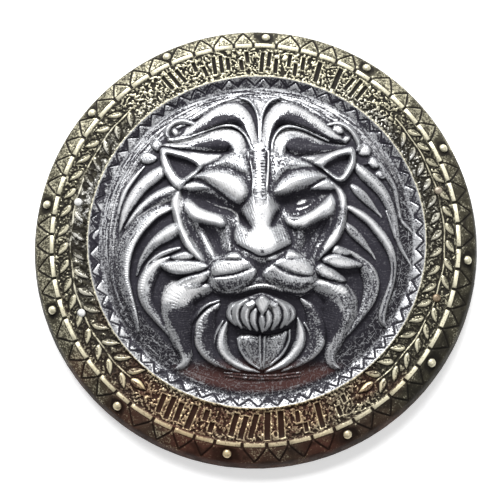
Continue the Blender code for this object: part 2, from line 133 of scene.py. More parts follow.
def blur(z, radius, wrap_rows=False):
    """Three box passes, close to a Gaussian. The first axis can wrap round."""
    r = max(1, int(round(radius)))
    k = 2 * r + 1
    for _ in range(3):
        for axis in (0, 1):
            pad = [(0, 0), (0, 0)]
            pad[axis] = (r + 1, r)
            mode = "wrap" if axis == 0 and wrap_rows else "edge"
            c = np.cumsum(np.pad(z, pad, mode=mode), axis=axis, dtype=np.float64)
            z = (c[k:] - c[:-k]) / k if axis == 0 else (c[:, k:] - c[:, :-k]) / k
    return z


def sample(z, u, v, wrap_rows=False):
    """Bilinear reading of a grid at fractional places."""
    n, m = z.shape
    v = np.clip(v, 0, m - 1.001)
    if not wrap_rows:
        u = np.clip(u, 0, n - 1.001)
    iu, iv = np.floor(u).astype(int), np.floor(v).astype(int)
    fu, fv = u - iu, v - iv
    i0, i1 = (iu % n, (iu + 1) % n) if wrap_rows else (iu, iu + 1)
    return (z[i0, iv] * (1 - fu) + z[i1, iv] * fu) * (1 - fv) + (z[i0, iv + 1] * (1 - fu) + z[i1, iv + 1] * fu) * fv


def drawn(x, y, z_from, z_to):
    """Slides points along the draw lines from one height to another."""
    cx, cy, cz = DRAW_FROM
    k = (cz - z_to) / (cz - z_from)
    return cx + (x - cx) * k, cy + (y - cy) * k


# ---------------------------------------------------------------- the lion
class Carving:
    """Heights over points drawn square-on: base form B, raised forms F, grooves G."""
    def __init__(self, x, y):
        self.x, self.y = x, y
        self.B = np.zeros_like(x)
        self.F = np.zeros_like(x)
        self.G = np.zeros_like(x)
        self.A = np.zeros_like(x)      # fine additive marks
        self.wash_and_shade_map = np.zeros_like(x)      # dark wash left in the hollows, and painted shade
        self.rub_and_highlight_map = np.zeros_like(x)      # paint rubbed bright, and painted highlights
        self.S = np.zeros_like(x)      # how far along its form a point lies, mm
        self.U = np.zeros_like(x)      # and how far across it, mm

    def near(self, line, reach, closed=False):
        x, y = self.x, self.y
        lo, hi = line[:, :2].min(0)-reach, line[:, :2].max(0)+reach
        idx = np.flatnonzero((x > lo[0]) & (x < hi[0]) & (y > lo[1]) & (y < hi[1]))
        px, py = x[idx], y[idx]
        best = np.full(len(idx), 1e9); tt = np.zeros(len(idx)); sg = np.ones(len(idx))
        n = len(line)
        ks = range(n if closed else n-1)
        for k in ks:
            a = line[k]; b = line[(k+1) % n]
            dx, dy = b[0]-a[0], b[1]-a[1]
            L = dx*dx+dy*dy+1e-12
            u = np.clip(((px-a[0])*dx+(py-a[1])*dy)/L, 0, 1)
            ex, ey = px-a[0]-u*dx, py-a[1]-u*dy
            d2 = ex*ex+ey*ey
            m = d2 < best
            best[m] = d2[m]; tt[m] = k+u[m]; sg[m] = np.sign(dx*ey-dy*ex)[m]
        return idx, np.sqrt(best), tt, sg

    def inside(self, line, px, py):
        c = np.zeros(len(px), bool)
        n = len(line)
        for k in range(n):
            x1, y1 = line[k, :2]; x2, y2 = line[(k+1) % n, :2]
            if y1 == y2: continue
            m = (y1 > py) != (y2 > py)
            c ^= m & (px < (x2-x1)*(py-y1)/(y2-y1)+x1)
        return c

    def lock(self, pts, h, crest=0.0, steep=0.6, slow=1.1, lift=0.0, moat=1.0, mw=0.6, taper=0.6, strands=0, sd=0.5, n=44, over=False, grow=1.0):
        """A swept ridge. pts rows (x, y, half width). crest: where the top sits, -1..1, + is left of the run.
        steep: power on the short side, slow: power on the long side."""
        line = curve(pts, n)
        w = line[:, 2] * grow + 0.35; wm = w.max()
        idx, d, t, sg = self.near(line, wm+3*mw)
        ww = np.interp(t, np.arange(n), w)
        u = sg*d/ww
        ins = np.abs(u) < 1
        v = np.where(u > crest, (1-u)/(1-crest), (1+u)/(1+crest)).clip(0, 1)
        short = (u > crest) if crest > 0 else (u < crest)
        pw = np.where(short, steep, slow) if crest else np.full(len(u), steep)
        prof = np.sin(v*np.pi/2)**pw
        z = lift+h*(ww/wm)**taper*prof
        if strands:
            z = z - sd*(ww/wm)*(0.5+0.5*np.cos(2*np.pi*strands*(u+1)/2))*(v**0.3)
        F, G = self.F, self.G
        win = ins & ((z > F[idx]) | over)
        F[idx[win]] = z[win]; G[idx[win]] = 0
        self.A[idx[win]] = 0
        along = np.interp(t, np.arange(n), np.concatenate([[0], np.cumsum(np.hypot(*np.diff(line[:, :2], axis=0).T))]))
        self.S[idx[win]] = along[win]
        self.U[idx[win]] = (u * ww)[win]
        self.wash_and_shade_map[idx[win]] = self.rub_and_highlight_map[idx[win]] = 0
        self.top = idx[win], u[win], t[win] / (n - 1), ww[win]
        if moat:
            g = moat*np.minimum(1, ww/2.0)*np.exp(-((d-ww)/mw)**2)
            near = (~ins) | (np.abs(u) > 0.85)
            ok = near & ((z >= F[idx]-0.01) | ~ins)
            G[idx[ok]] = np.maximum(G[idx[ok]], g[ok])
        return idx, u, t, ins, d, ww

    def lobe(self, pts, h, r, power=0.5, moat=1.0, mw=0.6, lift=0.0, tilt=(0, 0), n=72, over=False, out=0.7):
        """A cushion inside a closed outline; r: how far in the edge takes to round over."""
        line = ring_curve(pts, n)
        idx, d, t, sg = self.near(line, 3*mw + out, True)
        ins = self.inside(line, self.x[idx], self.y[idx])
        reach = np.where(ins, d, -d) + out
        ins = reach > 0
        d = np.abs(reach)
        v = np.clip(reach / r, 0, 1)
        prof = (1-(1-v)**2)**power
        c = line[:, :2].mean(0)
        z = lift+(h+tilt[0]*(self.x[idx]-c[0])+tilt[1]*(self.y[idx]-c[1]))*prof
        F, G = self.F, self.G
        win = ins & ((z > F[idx]) | over)
        F[idx[win]] = z[win]; G[idx[win]] = 0
        self.A[idx[win]] = 0
        self.S[idx[win]] = (self.x[idx] + 0.35 * self.y[idx])[win]
        self.U[idx[win]] = d[win]
        self.wash_and_shade_map[idx[win]] = self.rub_and_highlight_map[idx[win]] = 0
        if moat:
            g = moat*np.exp(-(d/mw)**2)
            ok = (~ins) | win
            G[idx[ok]] = np.maximum(G[idx[ok]], g[ok])
        return idx, d, ins

    def shade(self, *lines):
        """Lays painted highlights and painted shade on the ridge just laid, by lines along it: (bright or dark, place
        across -1..1, half width in mm, amount, from, to).
        """
        idx, u, t, w = self.top
        for kind, place, half, amount, start, end in lines:
            m = amount * np.exp(-((u - place) * w / half) ** 2) * sstep(start - 0.06, start + 0.06, t) * (1 - sstep(end - 0.06, end + 0.06, t))
            if kind == "dark":
                self.wash_and_shade_map[idx] = np.maximum(self.wash_and_shade_map[idx], m)
                self.rub_and_highlight_map[idx] *= 1 - m
            else:
                self.rub_and_highlight_map[idx] = np.maximum(self.rub_and_highlight_map[idx], m)
                self.wash_and_shade_map[idx] *= 1 - m

    def swell(self, pts, a, w=None, power=2.0, n=40, target='B'):
        """A soft rise or dip along a line: rows (x, y, half width)."""
        line = curve(pts, n)
        idx, d, t, sg = self.near(line, 2.6*line[:, 2].max())
        ww = np.interp(t, np.arange(n), line[:, 2])
        aa = np.interp(t/(n-1), np.linspace(0, 1, len(a)), a) if np.ndim(a) else a
        getattr(self, target)[idx] += aa*np.exp(-(d/ww)**power)

    def mound(self, cx, cy, rx, ry, a, power=2.0, rot=0.0, target='B'):
        c, s = np.cos(np.radians(rot)), np.sin(np.radians(rot))
        dx, dy = self.x-cx, self.y-cy
        u, v = (dx*c+dy*s)/rx, (-dx*s+dy*c)/ry
        getattr(self, target)[:] += a*np.exp(-(u*u+v*v)**(power/2))

    def line(self, pts, depth, w, n=40, taper=True):
        """A cut groove."""
        line = curve(pts, n)
        idx, d, t, sg = self.near(line, 3*w)
        k = np.sin(np.pi*np.clip(t/(n-1), 0.0, 1.0))**0.35 if taper else 1.0
        self.G[idx] = np.maximum(self.G[idx], depth*k*np.exp(-(d/w)**2))

    def swept(self, pts, soft, n=40):
        """How far points are inside a swept band: 1 well inside, 0 outside. Also the run's length there and the side, -1 to 1."""
        line = curve(pts, n)
        idx, d, t, sg = self.near(line, line[:, 2].max() + soft + 0.5)
        w = np.interp(t, np.arange(n), line[:, 2])
        along = np.interp(t, np.arange(n), np.concatenate([[0], np.cumsum(np.hypot(*np.diff(line[:, :2], axis=0).T))]))
        return idx, 1 - sstep(w - soft, w + 0.4 * soft, d), along, sg * d / w

    def within(self, pts, soft, n=72):
        line = ring_curve(pts, n)
        idx, d, t, sg = self.near(line, soft + 0.5, True)
        ins = self.inside(line, self.x[idx], self.y[idx])
        return idx, sstep(-0.3 * soft, soft, np.where(ins, d, -d))

    # dark wash and painted shade along a line
    def wash_and_shade(self, pts, amount=0.9, soft=1.2, n=40):
        idx, m, _, _ = self.swept(pts, soft, n)
        self.wash_and_shade_map[idx] = np.maximum(self.wash_and_shade_map[idx], amount * m)
        self.rub_and_highlight_map[idx] *= 1 - m

    # dark wash and painted shade inside an outline
    def wash_and_shade_in(self, pts, amount=0.9, soft=1.5):
        idx, m = self.within(pts, soft)
        self.wash_and_shade_map[idx] = np.maximum(self.wash_and_shade_map[idx], amount * m)
        self.rub_and_highlight_map[idx] *= 1 - m

    # paint rubbed bright and painted highlights along a line
    def rub_and_highlight(self, pts, amount=0.8, soft=1.5, n=40):
        idx, m, _, _ = self.swept(pts, soft, n)
        self.rub_and_highlight_map[idx] = np.maximum(self.rub_and_highlight_map[idx], amount * m)
        self.wash_and_shade_map[idx] *= 1 - m * min(1, 1.3 * amount)

    # paint rubbed bright and painted highlights inside an outline
    def rub_and_highlight_in(self, pts, amount=0.8, soft=2.5):
        idx, m = self.within(pts, soft)
        self.rub_and_highlight_map[idx] = np.maximum(self.rub_and_highlight_map[idx], amount * m)
        self.wash_and_shade_map[idx] *= 1 - m * min(1, 1.3 * amount)

    def teeth(self, pts, pitch, amount=0.8, depth=0.5, lean=0.0, part=(-1, 1), soft=0.8, n=40):
        """Short cuts across a band, side by side. part: which share of the width they take."""
        idx, m, along, u = self.swept(pts, soft, n)
        stripe = (0.5 + 0.5 * np.cos(2 * np.pi * (along + lean * u) / pitch)) ** 1.5
        m = m * sstep(part[0] - 0.15, part[0] + 0.15, u) * (1 - sstep(part[1] - 0.15, part[1] + 0.15, u))
        self.wash_and_shade_map[idx] = np.maximum(self.wash_and_shade_map[idx], amount * m * stripe)
        self.rub_and_highlight_map[idx] *= 1 - m * stripe
        self.A[idx] -= depth * m * stripe


def lion(c):
    x, y = c.x, c.y
    # ---- big forms: skull, mane bed, muzzle
    r = np.hypot(x - 2, y - 1)
    c.B += 9.0 * (1 - sstep(70, 152, r)) ** 0.8          # bed of the mane
    c.mound(AXIS, 8, 84, 92, 7.0, power=4)               # face oval
    c.mound(AXIS, 60, 62, 34, 4.0, power=3)              # forehead
    c.mound(AXIS, -34, 52, 27, 10.0, power=3.4)          # muzzle
    c.mound(AXIS, -74, 36, 26, 3.0, power=3)             # chin
    c.swell([(AXIS, 46, 13), (AXIS + .5, 25, 13), (AXIS + 1, 5, 17), (AXIS + 1, -8, 19)], [4.5, 7.5, 10.0, 10.5], power=2.6)   # nose bridge
    c.swell([(-72, 42, 7), (-48, 35, 11), (-24, 27, 8)], [-4, -8.5, -7.5], power=2.4)   # eye sockets
    c.swell([(80, 44, 7), (56, 40, 10), (29, 36, 8)], [-4, -7.0, -7.5], power=2.4)
    c.swell([(-14, 18, 4), (-8, 10, 4)], [-5, -4])        # nicks beside the bridge
    c.swell([(22, 24, 4), (17, 14, 4)], [-5, -4])
    c.swell([(-58, 6, 9), (-46, -4, 10), (-38, -14, 7)], [-5.5, -6.5, -5])   # cheek hollows
    c.swell([(68, 8, 9), (58, -2, 10), (50, -12, 7)], [-5.5, -6.5, -5])
    # ---- top mane
    c.lock([(-20, 150, 1), (-40, 143, 2.6), (-58, 132.5, 3.2), (-74, 122.5, 3), (-90, 113, 1.6)], 2.6, strands=3, sd=0.8, moat=.6)
    c.lock([(26, 149.5, 1), (44, 143.5, 2.6), (62, 132.5, 3.2), (78, 121.5, 3)], 2.6, strands=3, sd=0.8, moat=.6)
    c.lock([(-19, 90.5, 8), (-24, 102, 12), (-37, 103, 13.5), (-53, 99.5, 10.5), (-70, 97.5, 6.5), (-86, 97, 3.4), (-100, 98, 1.2)], 9.0, crest=0.15, slow=.85, steep=1.0, moat=.5)
    c.lock([(25, 90, 8), (28, 100, 11.5), (40, 99.5, 15), (55, 96.5, 12.5), (71, 94.5, 8), (86, 94.5, 4), (98, 96, 1)], 9.0, crest=-0.2, slow=.85, steep=1.0, moat=.5)
    c.lock([(-2.5, 92, 4.2), (-5.5, 108, 6.5), (-12, 124, 9.5), (-25, 131.5, 13.5), (-43, 125, 12.5), (-60, 114, 9), (-76, 107, 5.5), (-92, 103, 2)], 11.0, crest=0.25, slow=.9, steep=1.1, moat=.5)
    c.lock([(10, 92, 4.2), (12, 108, 6.5), (17, 124, 9), (30, 131, 13), (47, 125.5, 13), (63, 117, 11), (79, 107.5, 7), (94, 101, 2.5)], 11.0, crest=-0.25, slow=.9, steep=1.1, moat=.5)
    # thin double ridge between the great lock and the one under it
    c.lock([(-3.5, 92, 1), (-7, 101, 1.2), (-12.5, 110.5, 1.3), (-20, 117, 1.4), (-29, 119.3, 1.5), (-40, 118, 1.4), (-54, 112.8, 1.2), (-70, 107, 1), (-86, 103.5, .7)], 5.2, lift=2.6, moat=.7, mw=.7, over=True)
    c.lock([(16.5, 92, 1.2), (17.5, 101, 1.6), (21.5, 110, 1.8), (28, 116.3, 1.8), (37, 117.8, 1.6), (50, 114.5, 1.4), (63, 108, 1.2), (76, 101.5, .8)], 5.2, lift=2.6, moat=.7, mw=.7, over=True)
    # centre ribs that part between the two great locks
    for s in (-1, 1):
        c.lock([(4 + .9 * s, 93, .9), (4 + 1.1 * s, 112, 1.0), (4 + 1.6 * s, 126, 1.2), (4 + 4.5 * s, 137, 1.5), (4 + 11 * s, 146, 1.6), (4 + 21 * s, 149.5, .8)], 5.0, lift=1.5, moat=.8)
    c.lobe([(4.5, 126), (1.5, 136), (-3.5, 145), (-7, 149.5), (4, 147.5), (15, 149), (11, 144), (7, 136)], 3.2, 3, moat=.8)
    # curls at the ends of the locks
    c.lock([(-66, 121, 2.2), (-77, 124, 3), (-87, 121.5, 3.2), (-93.5, 114, 3.2), (-92, 106, 2.6), (-84, 103.5, 1.5)], 5.0, crest=-.2)
    c.lobe([(-89, 113), (-86, 116), (-81.5, 112), (-85, 108)], 4.0, 3)
    c.lock([(76, 119, 2), (87, 120, 3), (97, 115, 3.4), (104, 106.5, 3.4), (107.5, 97, 3), (105, 90, 1.8)], 5.0, crest=.2)
    c.lobe([(80, 113.5), (83, 118.5), (90, 117), (92, 111), (86, 109)], 4.6, 3.5)
    c.lobe([(91, 103), (94, 106.5), (99, 105), (96, 101)], 3.5, 3)
    c.lobe([(107, 87), (111, 99), (120, 94), (118, 86)], 3.4, 4)
    c.lobe([(117, 78), (121, 84), (127, 80), (128, 73), (121, 72)], 5.0, 5)
    c.lock([(112, 76, .8), (118, 77, 1.2)], 3.0, moat=.4)
    c.lobe([(122, 64), (129, 70), (135, 62), (130, 60)], 3.0, 4)
    c.lobe([(-110, 97), (-105, 104), (-99, 99), (-103, 91)], 3.5, 4)
    c.lobe([(-122, 86), (-114, 90), (-103, 84), (-112, 78), (-121, 80)], 3.5, 4)
    # ---- side locks, left: broad, each with a bright crest over a coved flank, in painted highlights and painted shade
    c.lock([(-121, 84, 1.2), (-131, 68, 3), (-141, 46, 4), (-147.5, 20, 4), (-149.5, -8, 3.4), (-148, -36, 2.8), (-141, -66, 1.5)], 2.2, strands=3, sd=1.0)
    c.shade(("dark", 0, 9, .58, 0, 1), ("light", -.6, .9, .5, 0, .6), ("light", .5, .8, .5, .05, .7))
    c.lock([(-117, 75, .8), (-128, 61, 2.6), (-136.5, 47, 3.2), (-141, 33, 2.6), (-144, 18, .8)], 4.2, crest=-.2)
    c.shade(("light", -.3, 1.4, .7, .05, .9), ("dark", .8, 1.6, .5, 0, 1))
    c.lock([(-96, 71, 6.5), (-108.7, 62.5, 7.6), (-119.5, 52.8, 7.2), (-127.8, 41, 6.5), (-134.5, 28.5, 5), (-139, 16, 3), (-141.7, 5, .8)], 7.0, crest=.1, steep=.45, slow=.5)
    c.shade(("light", -.35, 3.2, .8, .0, .8), ("light", .35, 1.8, .45, 0, .7), ("dark", .0, 1.6, .42, 0, .5), ("dark", .95, 1.6, .6, 0, 1), ("dark", -1, 1.2, .45, 0, 1), ("light", 0, 1.4, .7, .55, .95))
    c.lock([(-88, 46.5, 9), (-102, 40.3, 8.6), (-113.7, 32.5, 7), (-124.5, 22.5, 4.8), (-135, 9, 2)], 5.6, crest=-.5, steep=.6, slow=.7)
    c.shade(("dark", .12, 3.4, .9, 0, .62), ("light", -.5, 1.6, .8, .0, .9), ("light", .68, 1.1, .8, .05, .85), ("dark", -1, 1, .6, 0, 1), ("dark", 1, .8, .6, 0, 1))
    c.lock([(-89, 31.5, 4), (-103.7, 26, 6.4), (-114.5, 18, 8), (-124.5, 7, 8.6), (-132, -4.7, 9.4), (-136.5, -18, 9.4), (-137.8, -31.3, 8.6), (-137, -44.7, 7.5), (-132.8, -58, 6.4), (-127.8, -73, 5), (-122.8, -88, 3.4), (-120.3, -98, 1.5)], 8.0, crest=.55, slow=.75, steep=.5)
    c.shade(("dark", -.5, 8, .58, .22, 1), ("light", .55, 1.7, 1, .0, .62), ("light", .5, .8, .5, .6, .98), ("dark", .95, 1.4, .8, .05, 1), ("dark", -.1, 2.2, .5, .5, .95), ("light", -.75, .8, .4, .3, .8))
    c.lock([(-82, 8.5, 8), (-92, 2.6, 8), (-103, -5, 6.2), (-112, -15.5, 4.6), (-119, -28, 2.6), (-122.5, -40, 1)], 7.4, crest=-.1, steep=.5, slow=.55)
    c.shade(("light", -.1, 3.6, .85, .0, .42), ("light", -.5, .8, .6, .3, .85), ("light", .35, .7, .45, .3, .8), ("dark", .0, 1.4, .55, .4, .9), ("dark", 1, 1.4, .7, 0, 1), ("dark", -1, 1, .6, 0, 1))
    c.lock([(-79, -12, 1.4), (-90, -15.4, 2.6), (-101, -20.8, 3), (-111, -30, 2.6), (-118, -42, 1.2)], 5.0, strands=2, sd=1.4, moat=.7)
    c.shade(("light", -.45, .6, .7, 0, 1), ("light", .45, .6, .6, 0, 1), ("dark", 0, .7, .7, 0, 1))
    c.lock([(-90, -23, 2.6), (-99, -28.5, 5), (-107.3, -37, 8), (-112.4, -46.7, 9), (-113.7, -58.3, 8.2), (-110.3, -70.7, 6.6), (-102.8, -82.3, 4.8), (-93.7, -94, 3.2), (-84.3, -107, 1.4)], 8.0, crest=-.45, slow=.8, steep=.55)
    c.shade(("light", -.3, 3.6, .92, .06, .48), ("light", -.8, .8, .7, .4, 1), ("dark", .75, 3.0, .85, .12, .9), ("dark", .2, 2.4, .5, .5, 1), ("light", 1, .7, .4, .3, .9))
    # ---- side locks, right: narrower, in thicker painted shade
    c.lock([(129, 76, 2.4), (137.5, 62, 3), (144, 49, 2.6), (146, 37, 2), (147.6, 26, 1.6), (149.4, 17, 1.6), (154, 10.5, 2), (162.5, 2, .5)], 3.6, strands=1, sd=.8, moat=.8)
    c.shade(("dark", 0, 4, .5, 0, .5), ("light", .55, .7, .6, .1, 1), ("light", -.6, .6, .45, .05, .7))
    c.lock([(104, 74.5, 5), (113.5, 64.8, 6.8), (123.8, 54.5, 6.8), (131.2, 45.6, 6.2), (136.6, 34.8, 5.4), (140.7, 24, 4.4), (143.4, 13, 3.4), (145.2, .7, 3), (147.5, -9.3, 2.5), (151.8, -19, 1.8), (159, -31.5, .6)], 6.4, crest=.15, steep=.5, slow=.6)
    c.shade(("light", .25, 1.8, .62, .02, .55), ("light", .55, .8, .6, .4, 1), ("dark", 0, 9, .40, 0, .9), ("light", .1, 2, .5, 0, .35), ("light", -.55, .6, .4, .5, .95))
    c.lock([(134.5, 26, .6), (139, 13, 1.3), (143, -3, .6)], 4.4, moat=.5)
    c.lock([(100, 52.5, 2.8), (105.7, 47.2, 5), (112.6, 40, 5), (119.2, 32.4, 3.6), (124.4, 26, 1.8), (129.6, 19.5, .6)], 5.6, crest=.1, steep=.5, slow=.55)
    c.shade(("dark", 0, 9, .44, 0, .9), ("light", .6, .8, .55, 0, 1), ("light", -.6, .8, .45, .05, .9))
    c.lock([(96.5, 29.5, 3), (107.3, 23, 4.4), (117.7, 14.5, 4.8), (125.5, 4.8, 5.2), (131.8, -3.5, 5.4), (137.2, -13.5, 4.8), (140.3, -25, 3.8), (140.8, -37, 3), (138.7, -49, 3), (134.5, -61, 3.2), (130.4, -72.7, 3.6), (128, -82.7, 3.8), (128.4, -89.6, 3), (132.4, -94.5, 1)], 7.2, crest=.15, steep=.5, slow=.6)
    c.shade(("light", .1, 2.4, .9, .0, .42), ("light", .6, .7, .7, .3, 1), ("light", -.6, .7, .6, .35, 1), ("dark", 0, 1.2, .8, .44, .97), ("dark", -1, 1, .6, 0, .6))
    c.lock([(91.5, 13, 3), (98.5, 5.4, 5), (105.9, -2.5, 4.8), (112.6, -10.6, 3.2), (118, -17.5, 1.7), (122.2, -24.5, .5)], 5.6, crest=0, steep=.5)
    c.shade(("dark", 0, 9, .46, 0, .9), ("light", .55, .8, .5, 0, 1), ("light", -.4, .9, .4, .05, .8))
    c.lock([(86, -11.5, 1.2), (97, -17.5, 2.2), (106.5, -25.5, 4), (113.5, -36, 8), (117.6, -47.7, 8.6), (116.6, -59.3, 8), (112.4, -71, 6.4), (106.2, -81.5, 4.8), (98.5, -93.2, 3), (89.5, -105, 1.4)], 7.6, crest=.6, slow=.7, steep=.5)
    c.shade(("light", 0, 1, .7, 0, .25), ("dark", 0, 20, .52, .16, 1), ("light", .78, .9, .5, .12, .7), ("dark", -.95, 1.6, .75, .2, .95))
    # ---- great lower S locks
    c.lock([(-44, -54, 4), (-58, -56, 10), (-72, -60, 17), (-79, -72, 19), (-79.5, -90, 15.5), (-76, -108, 10.5), (-71, -122, 7), (-73, -131, 5), (-81, -137, 1.4)], 11.0, crest=-.3, slow=.85, steep=.7, moat=.5)
    c.lock([(56, -50, 4.5), (68, -54, 10), (82, -62, 17), (86, -76, 18), (82, -92, 14.5), (78.5, -108, 10), (74.5, -121, 6.6), (76, -131, 4.8), (84, -137, 1.2)], 10.0, crest=.35, slow=.85, steep=.7, moat=.5)
    c.shade(("dark", 0, 40, .46, .18, 1), ("light", .9, .9, .5, .3, 1))
    # ---- beard crescents: a bright outer edge and a hatched flank sloping in
    c.lock([(-38, -67, 1.0), (-50, -71.5, 1.6), (-60, -80, 1.8), (-66.5, -91, .8)], 3.6, moat=.6)
    c.lock([(-38, -71, 1.5), (-46, -80, 6), (-51, -93, 10), (-52, -107, 11), (-46, -120, 9), (-33, -131, 5.5), (-17, -138.5, 1.6)], 8.5, crest=-.72, slow=.75)
    c.shade(("dark", .25, 7.5, .85, .05, .95))
    c.lock([(46, -66, 1.5), (55, -76, 6), (60, -90, 9.5), (60.5, -105, 10.5), (54, -119, 8.5), (41, -130, 5), (26, -138, 1.6)], 8.5, crest=.72, slow=.75)
    c.shade(("dark", -.2, 8, .72, .05, .95))
    c.lock([(-29, -88, 1.2), (-34, -101, 5), (-34, -114, 6.5), (-27, -126, 5.5), (-13, -134.5, 4), (3, -139.5, 1.4)], 7.5, crest=-.35, slow=.8)
    c.lock([(-34, -88, .8), (-40, -99, 1.4), (-43, -110, 1.4), (-41.5, -119, .8)], 3.4, lift=1.5, moat=.8)
    c.lock([(42, -85, 1.2), (45, -99, 5.2), (43.5, -112, 6.5), (36, -124, 5.5), (24, -133, 4), (9, -139.5, 1.4)], 7.5, crest=.35, slow=.8)
    c.lock([(49, -90, .8), (54, -100, 1.3), (56, -110, .8)], 3.4, lift=1.5, moat=.8)
    c.lobe([(-18, -104), (-17, -114), (-11, -125), (-3, -133), (6, -138), (15, -133), (24, -123), (29, -112), (32, -98), (22, -101), (6, -103), (-8, -102)], 6.5, 11, moat=.8)
    for xx in (3.6, 8.4):
        c.lock([(xx, -103, .8), (xx * .9 + .6, -120, .9), (6 + (xx - 6) * .5, -135, .6)], 2, lift=6.2, moat=1.0, mw=.6)
    c.lock([(-19, -106, .7), (-16, -118, .9), (-8, -129, .9), (3, -136.5, .7)], 3.0, lift=3.5, moat=.6, over=True)
    c.lock([(34, -97, .7), (33, -109, 1), (26, -122, 1), (14, -133, .7)], 3.0, lift=3.5, moat=.6, over=True)
    for k in (0, 1):
        c.lock([(-32, -140.5 - 3 * k, .9), (-5, -143.2 - 3 * k, 1.3), (20, -143.4 - 3 * k, 1.3), (44, -140.5 - 3 * k, .9)], 3.0 - k, moat=.8)
    # ---- head: the whole face stands as one mass, its parts on top
    c.lobe([(-80, 54), (-86, 38), (-86, 20), (-79, 2), (-71, -12), (-62, -24), (-54, -34), (-50, -44), (-44, -54), (-30, -60), (-10, -58), (6, -54), (20, -56), (36, -60), (52, -56), (60, -44), (64, -32), (70, -20), (80, -8), (90, 6), (93, 26), (91, 44), (84, 57), (62, 74), (40, 88), (6, 93), (-20, 92), (-42, 84), (-64, 70)], 3.4, 8, moat=0)
    # skull planes, forehead
    c.lobe([(-36, 87), (-52, 89), (-72, 91.5), (-92, 93.5), (-82, 88), (-68, 83), (-60, 74.5), (-48, 78)], 4.5, 8, moat=.6)
    c.lobe([(46, 84.5), (60, 87.5), (80, 91), (99, 93.5), (90, 87), (78, 82), (68, 73.5), (56, 78)], 4.5, 8, moat=.6)
    c.lobe([(-46, 75.5), (-38, 82), (-28, 89), (-20, 92), (-13.5, 90.5), (-9.5, 80), (-6.5, 66), (-16, 67.5), (-28, 73.5), (-38, 75.5)], 6.0, 8, moat=.7)
    c.lobe([(14, 90.5), (24, 90.5), (37, 86.5), (49, 80.5), (60, 74.5), (50, 72.5), (36, 70.5), (28, 64.5), (23, 57), (17.5, 58), (14, 66), (13, 78)], 6.0, 8, moat=.7)
    # ---- ears
    c.lobe([(-99, 95), (-100.5, 85), (-98, 73), (-92.5, 61), (-86, 53), (-79, 49.5), (-73, 57), (-62, 67), (-55, 76), (-62, 85), (-82, 92)], 10, 4.5, moat=1.2)
    c.lobe([(101, 95), (104.5, 85), (103, 74), (98, 65), (92, 58.5), (85, 58), (76, 65), (68, 72), (60, 78), (72, 86), (88, 92)], 10, 4.5, moat=1.2)
    # ---- brows
    c.lobe([(-73, 59.5), (-66, 65.5), (-55, 71), (-40, 73), (-26, 70.5), (-14, 64), (-8, 55), (-6.5, 46), (-9, 39), (-15, 34), (-21, 33.5), (-28, 38), (-38, 46), (-48, 53), (-57, 59), (-66, 60.5)], 11.5, 15, power=.75, moat=.9)
    c.lobe([(17.5, 48), (20, 43.5), (27, 41.5), (36, 44), (46, 48.5), (57, 53), (67, 58.5), (76, 62.5), (70, 67), (60, 70.5), (48, 71), (36, 68.5), (28, 63.5), (22, 57)], 11.5, 15, power=.75, moat=.9)
    c.lobe([(-79, 51), (-73, 57), (-64, 58.5), (-55, 55.5), (-50, 51), (-58, 49.5), (-68, 48.5)], 6.5, 5, moat=.7)
    c.lobe([(55, 50), (64, 56), (74, 61), (81, 56), (83, 50), (76, 48.5), (66, 48.5)], 6.5, 5, moat=.7)
    # ---- eyes
    c.lobe([(-62, 38), (-54, 39.5), (-44, 37.5), (-36, 32), (-40, 29), (-50, 29), (-58, 33)], 4.0, 6, moat=.6)
    c.lobe([(41, 33), (45, 38.5), (53, 41), (61, 40), (64, 36), (57, 32.5), (48, 30.5)], 5.0, 6, moat=.8)
    c.lobe([(63, 38), (66, 44), (72, 46), (76, 43), (71, 38)], 3.0, 4, moat=.5)
    c.lock([(-64, 42, .8), (-54, 40, 1.3), (-45, 34.5, 1.4), (-36, 30.8, 1.4), (-27, 28.5, 1.4), (-20.5, 24, 1.4), (-18.5, 17, 1.3), (-20.5, 7, 1.1), (-23, 0, .7)], 3.6, moat=.5)
    c.lock([(-58, 37, .6), (-47, 31.5, .9), (-37, 27.5, 1.1), (-28, 25.8, 1), (-22.5, 20, .7)], 2.4, moat=.5)
    c.lock([(37, 30, .8), (44, 40, 1.2), (56, 44, 1.2), (66, 46.5, 1.2), (76, 47, .7)], 3.0, moat=.5)
    c.lock([(37, 27.5, .8), (44, 28.3, 1.4), (51, 30.3, 1.4), (58, 34.2, 1.1), (65, 40, .7)], 3.2, moat=.6)
    # ---- cheekbones under the eyes, side bands of the face
    c.lobe([(-77, 36), (-72, 41), (-66, 38.5), (-58, 32), (-48, 27.5), (-38, 24), (-32, 20), (-29, 14), (-34, 8.5), (-44, 10.5), (-54, 12.5), (-62, 14), (-69, 18.5), (-75, 27)], 9.5, 7, power=.7, moat=0)
    c.lobe([(29, 18), (33, 22), (42, 20.5), (52, 23.5), (61, 29.5), (68, 36), (74, 43), (79, 45), (83, 38), (82, 26), (76, 19.5), (66, 15.5), (57, 11), (50, 7), (42, 6.5), (32, 10.5)], 9.5, 7, power=.7, moat=0)
    c.lock([(-80, 49, 3.5), (-83, 36, 6), (-81, 20, 5.6), (-76, 5, 5.6), (-68, -8, 7), (-60, -19, 6), (-51, -31, 2)], 9.0, crest=-.2, moat=.6)
    c.lock([(80, 55, 2.5), (88, 43, 4.8), (90, 30, 5), (88, 15, 5.4), (82, 2, 6.6), (74, -8, 6.4), (63, -24, 2)], 9.0, crest=.2, moat=.6)
    # lean muscles in the cheek hollows
    c.lock([(-67, 20, 3.5), (-60, 8, 5), (-53, -4, 5.6), (-47, -16, 5.2), (-43, -26, 2)], 6.4, crest=.1, moat=0)
    c.lock([(-31, 15, 3), (-29.5, 3, 5.8), (-28.5, -8, 5.8), (-27, -17, 2.5)], 6.0, moat=0)
    c.lock([(73, 20, 3), (66, 6, 5), (60, -6, 6), (55, -19, 3)], 5.6, crest=-.2, moat=0)
    c.lock([(43, 14, 3), (46, 2, 6), (46, -8, 5.5), (44, -16, 2)], 5.6, moat=0)
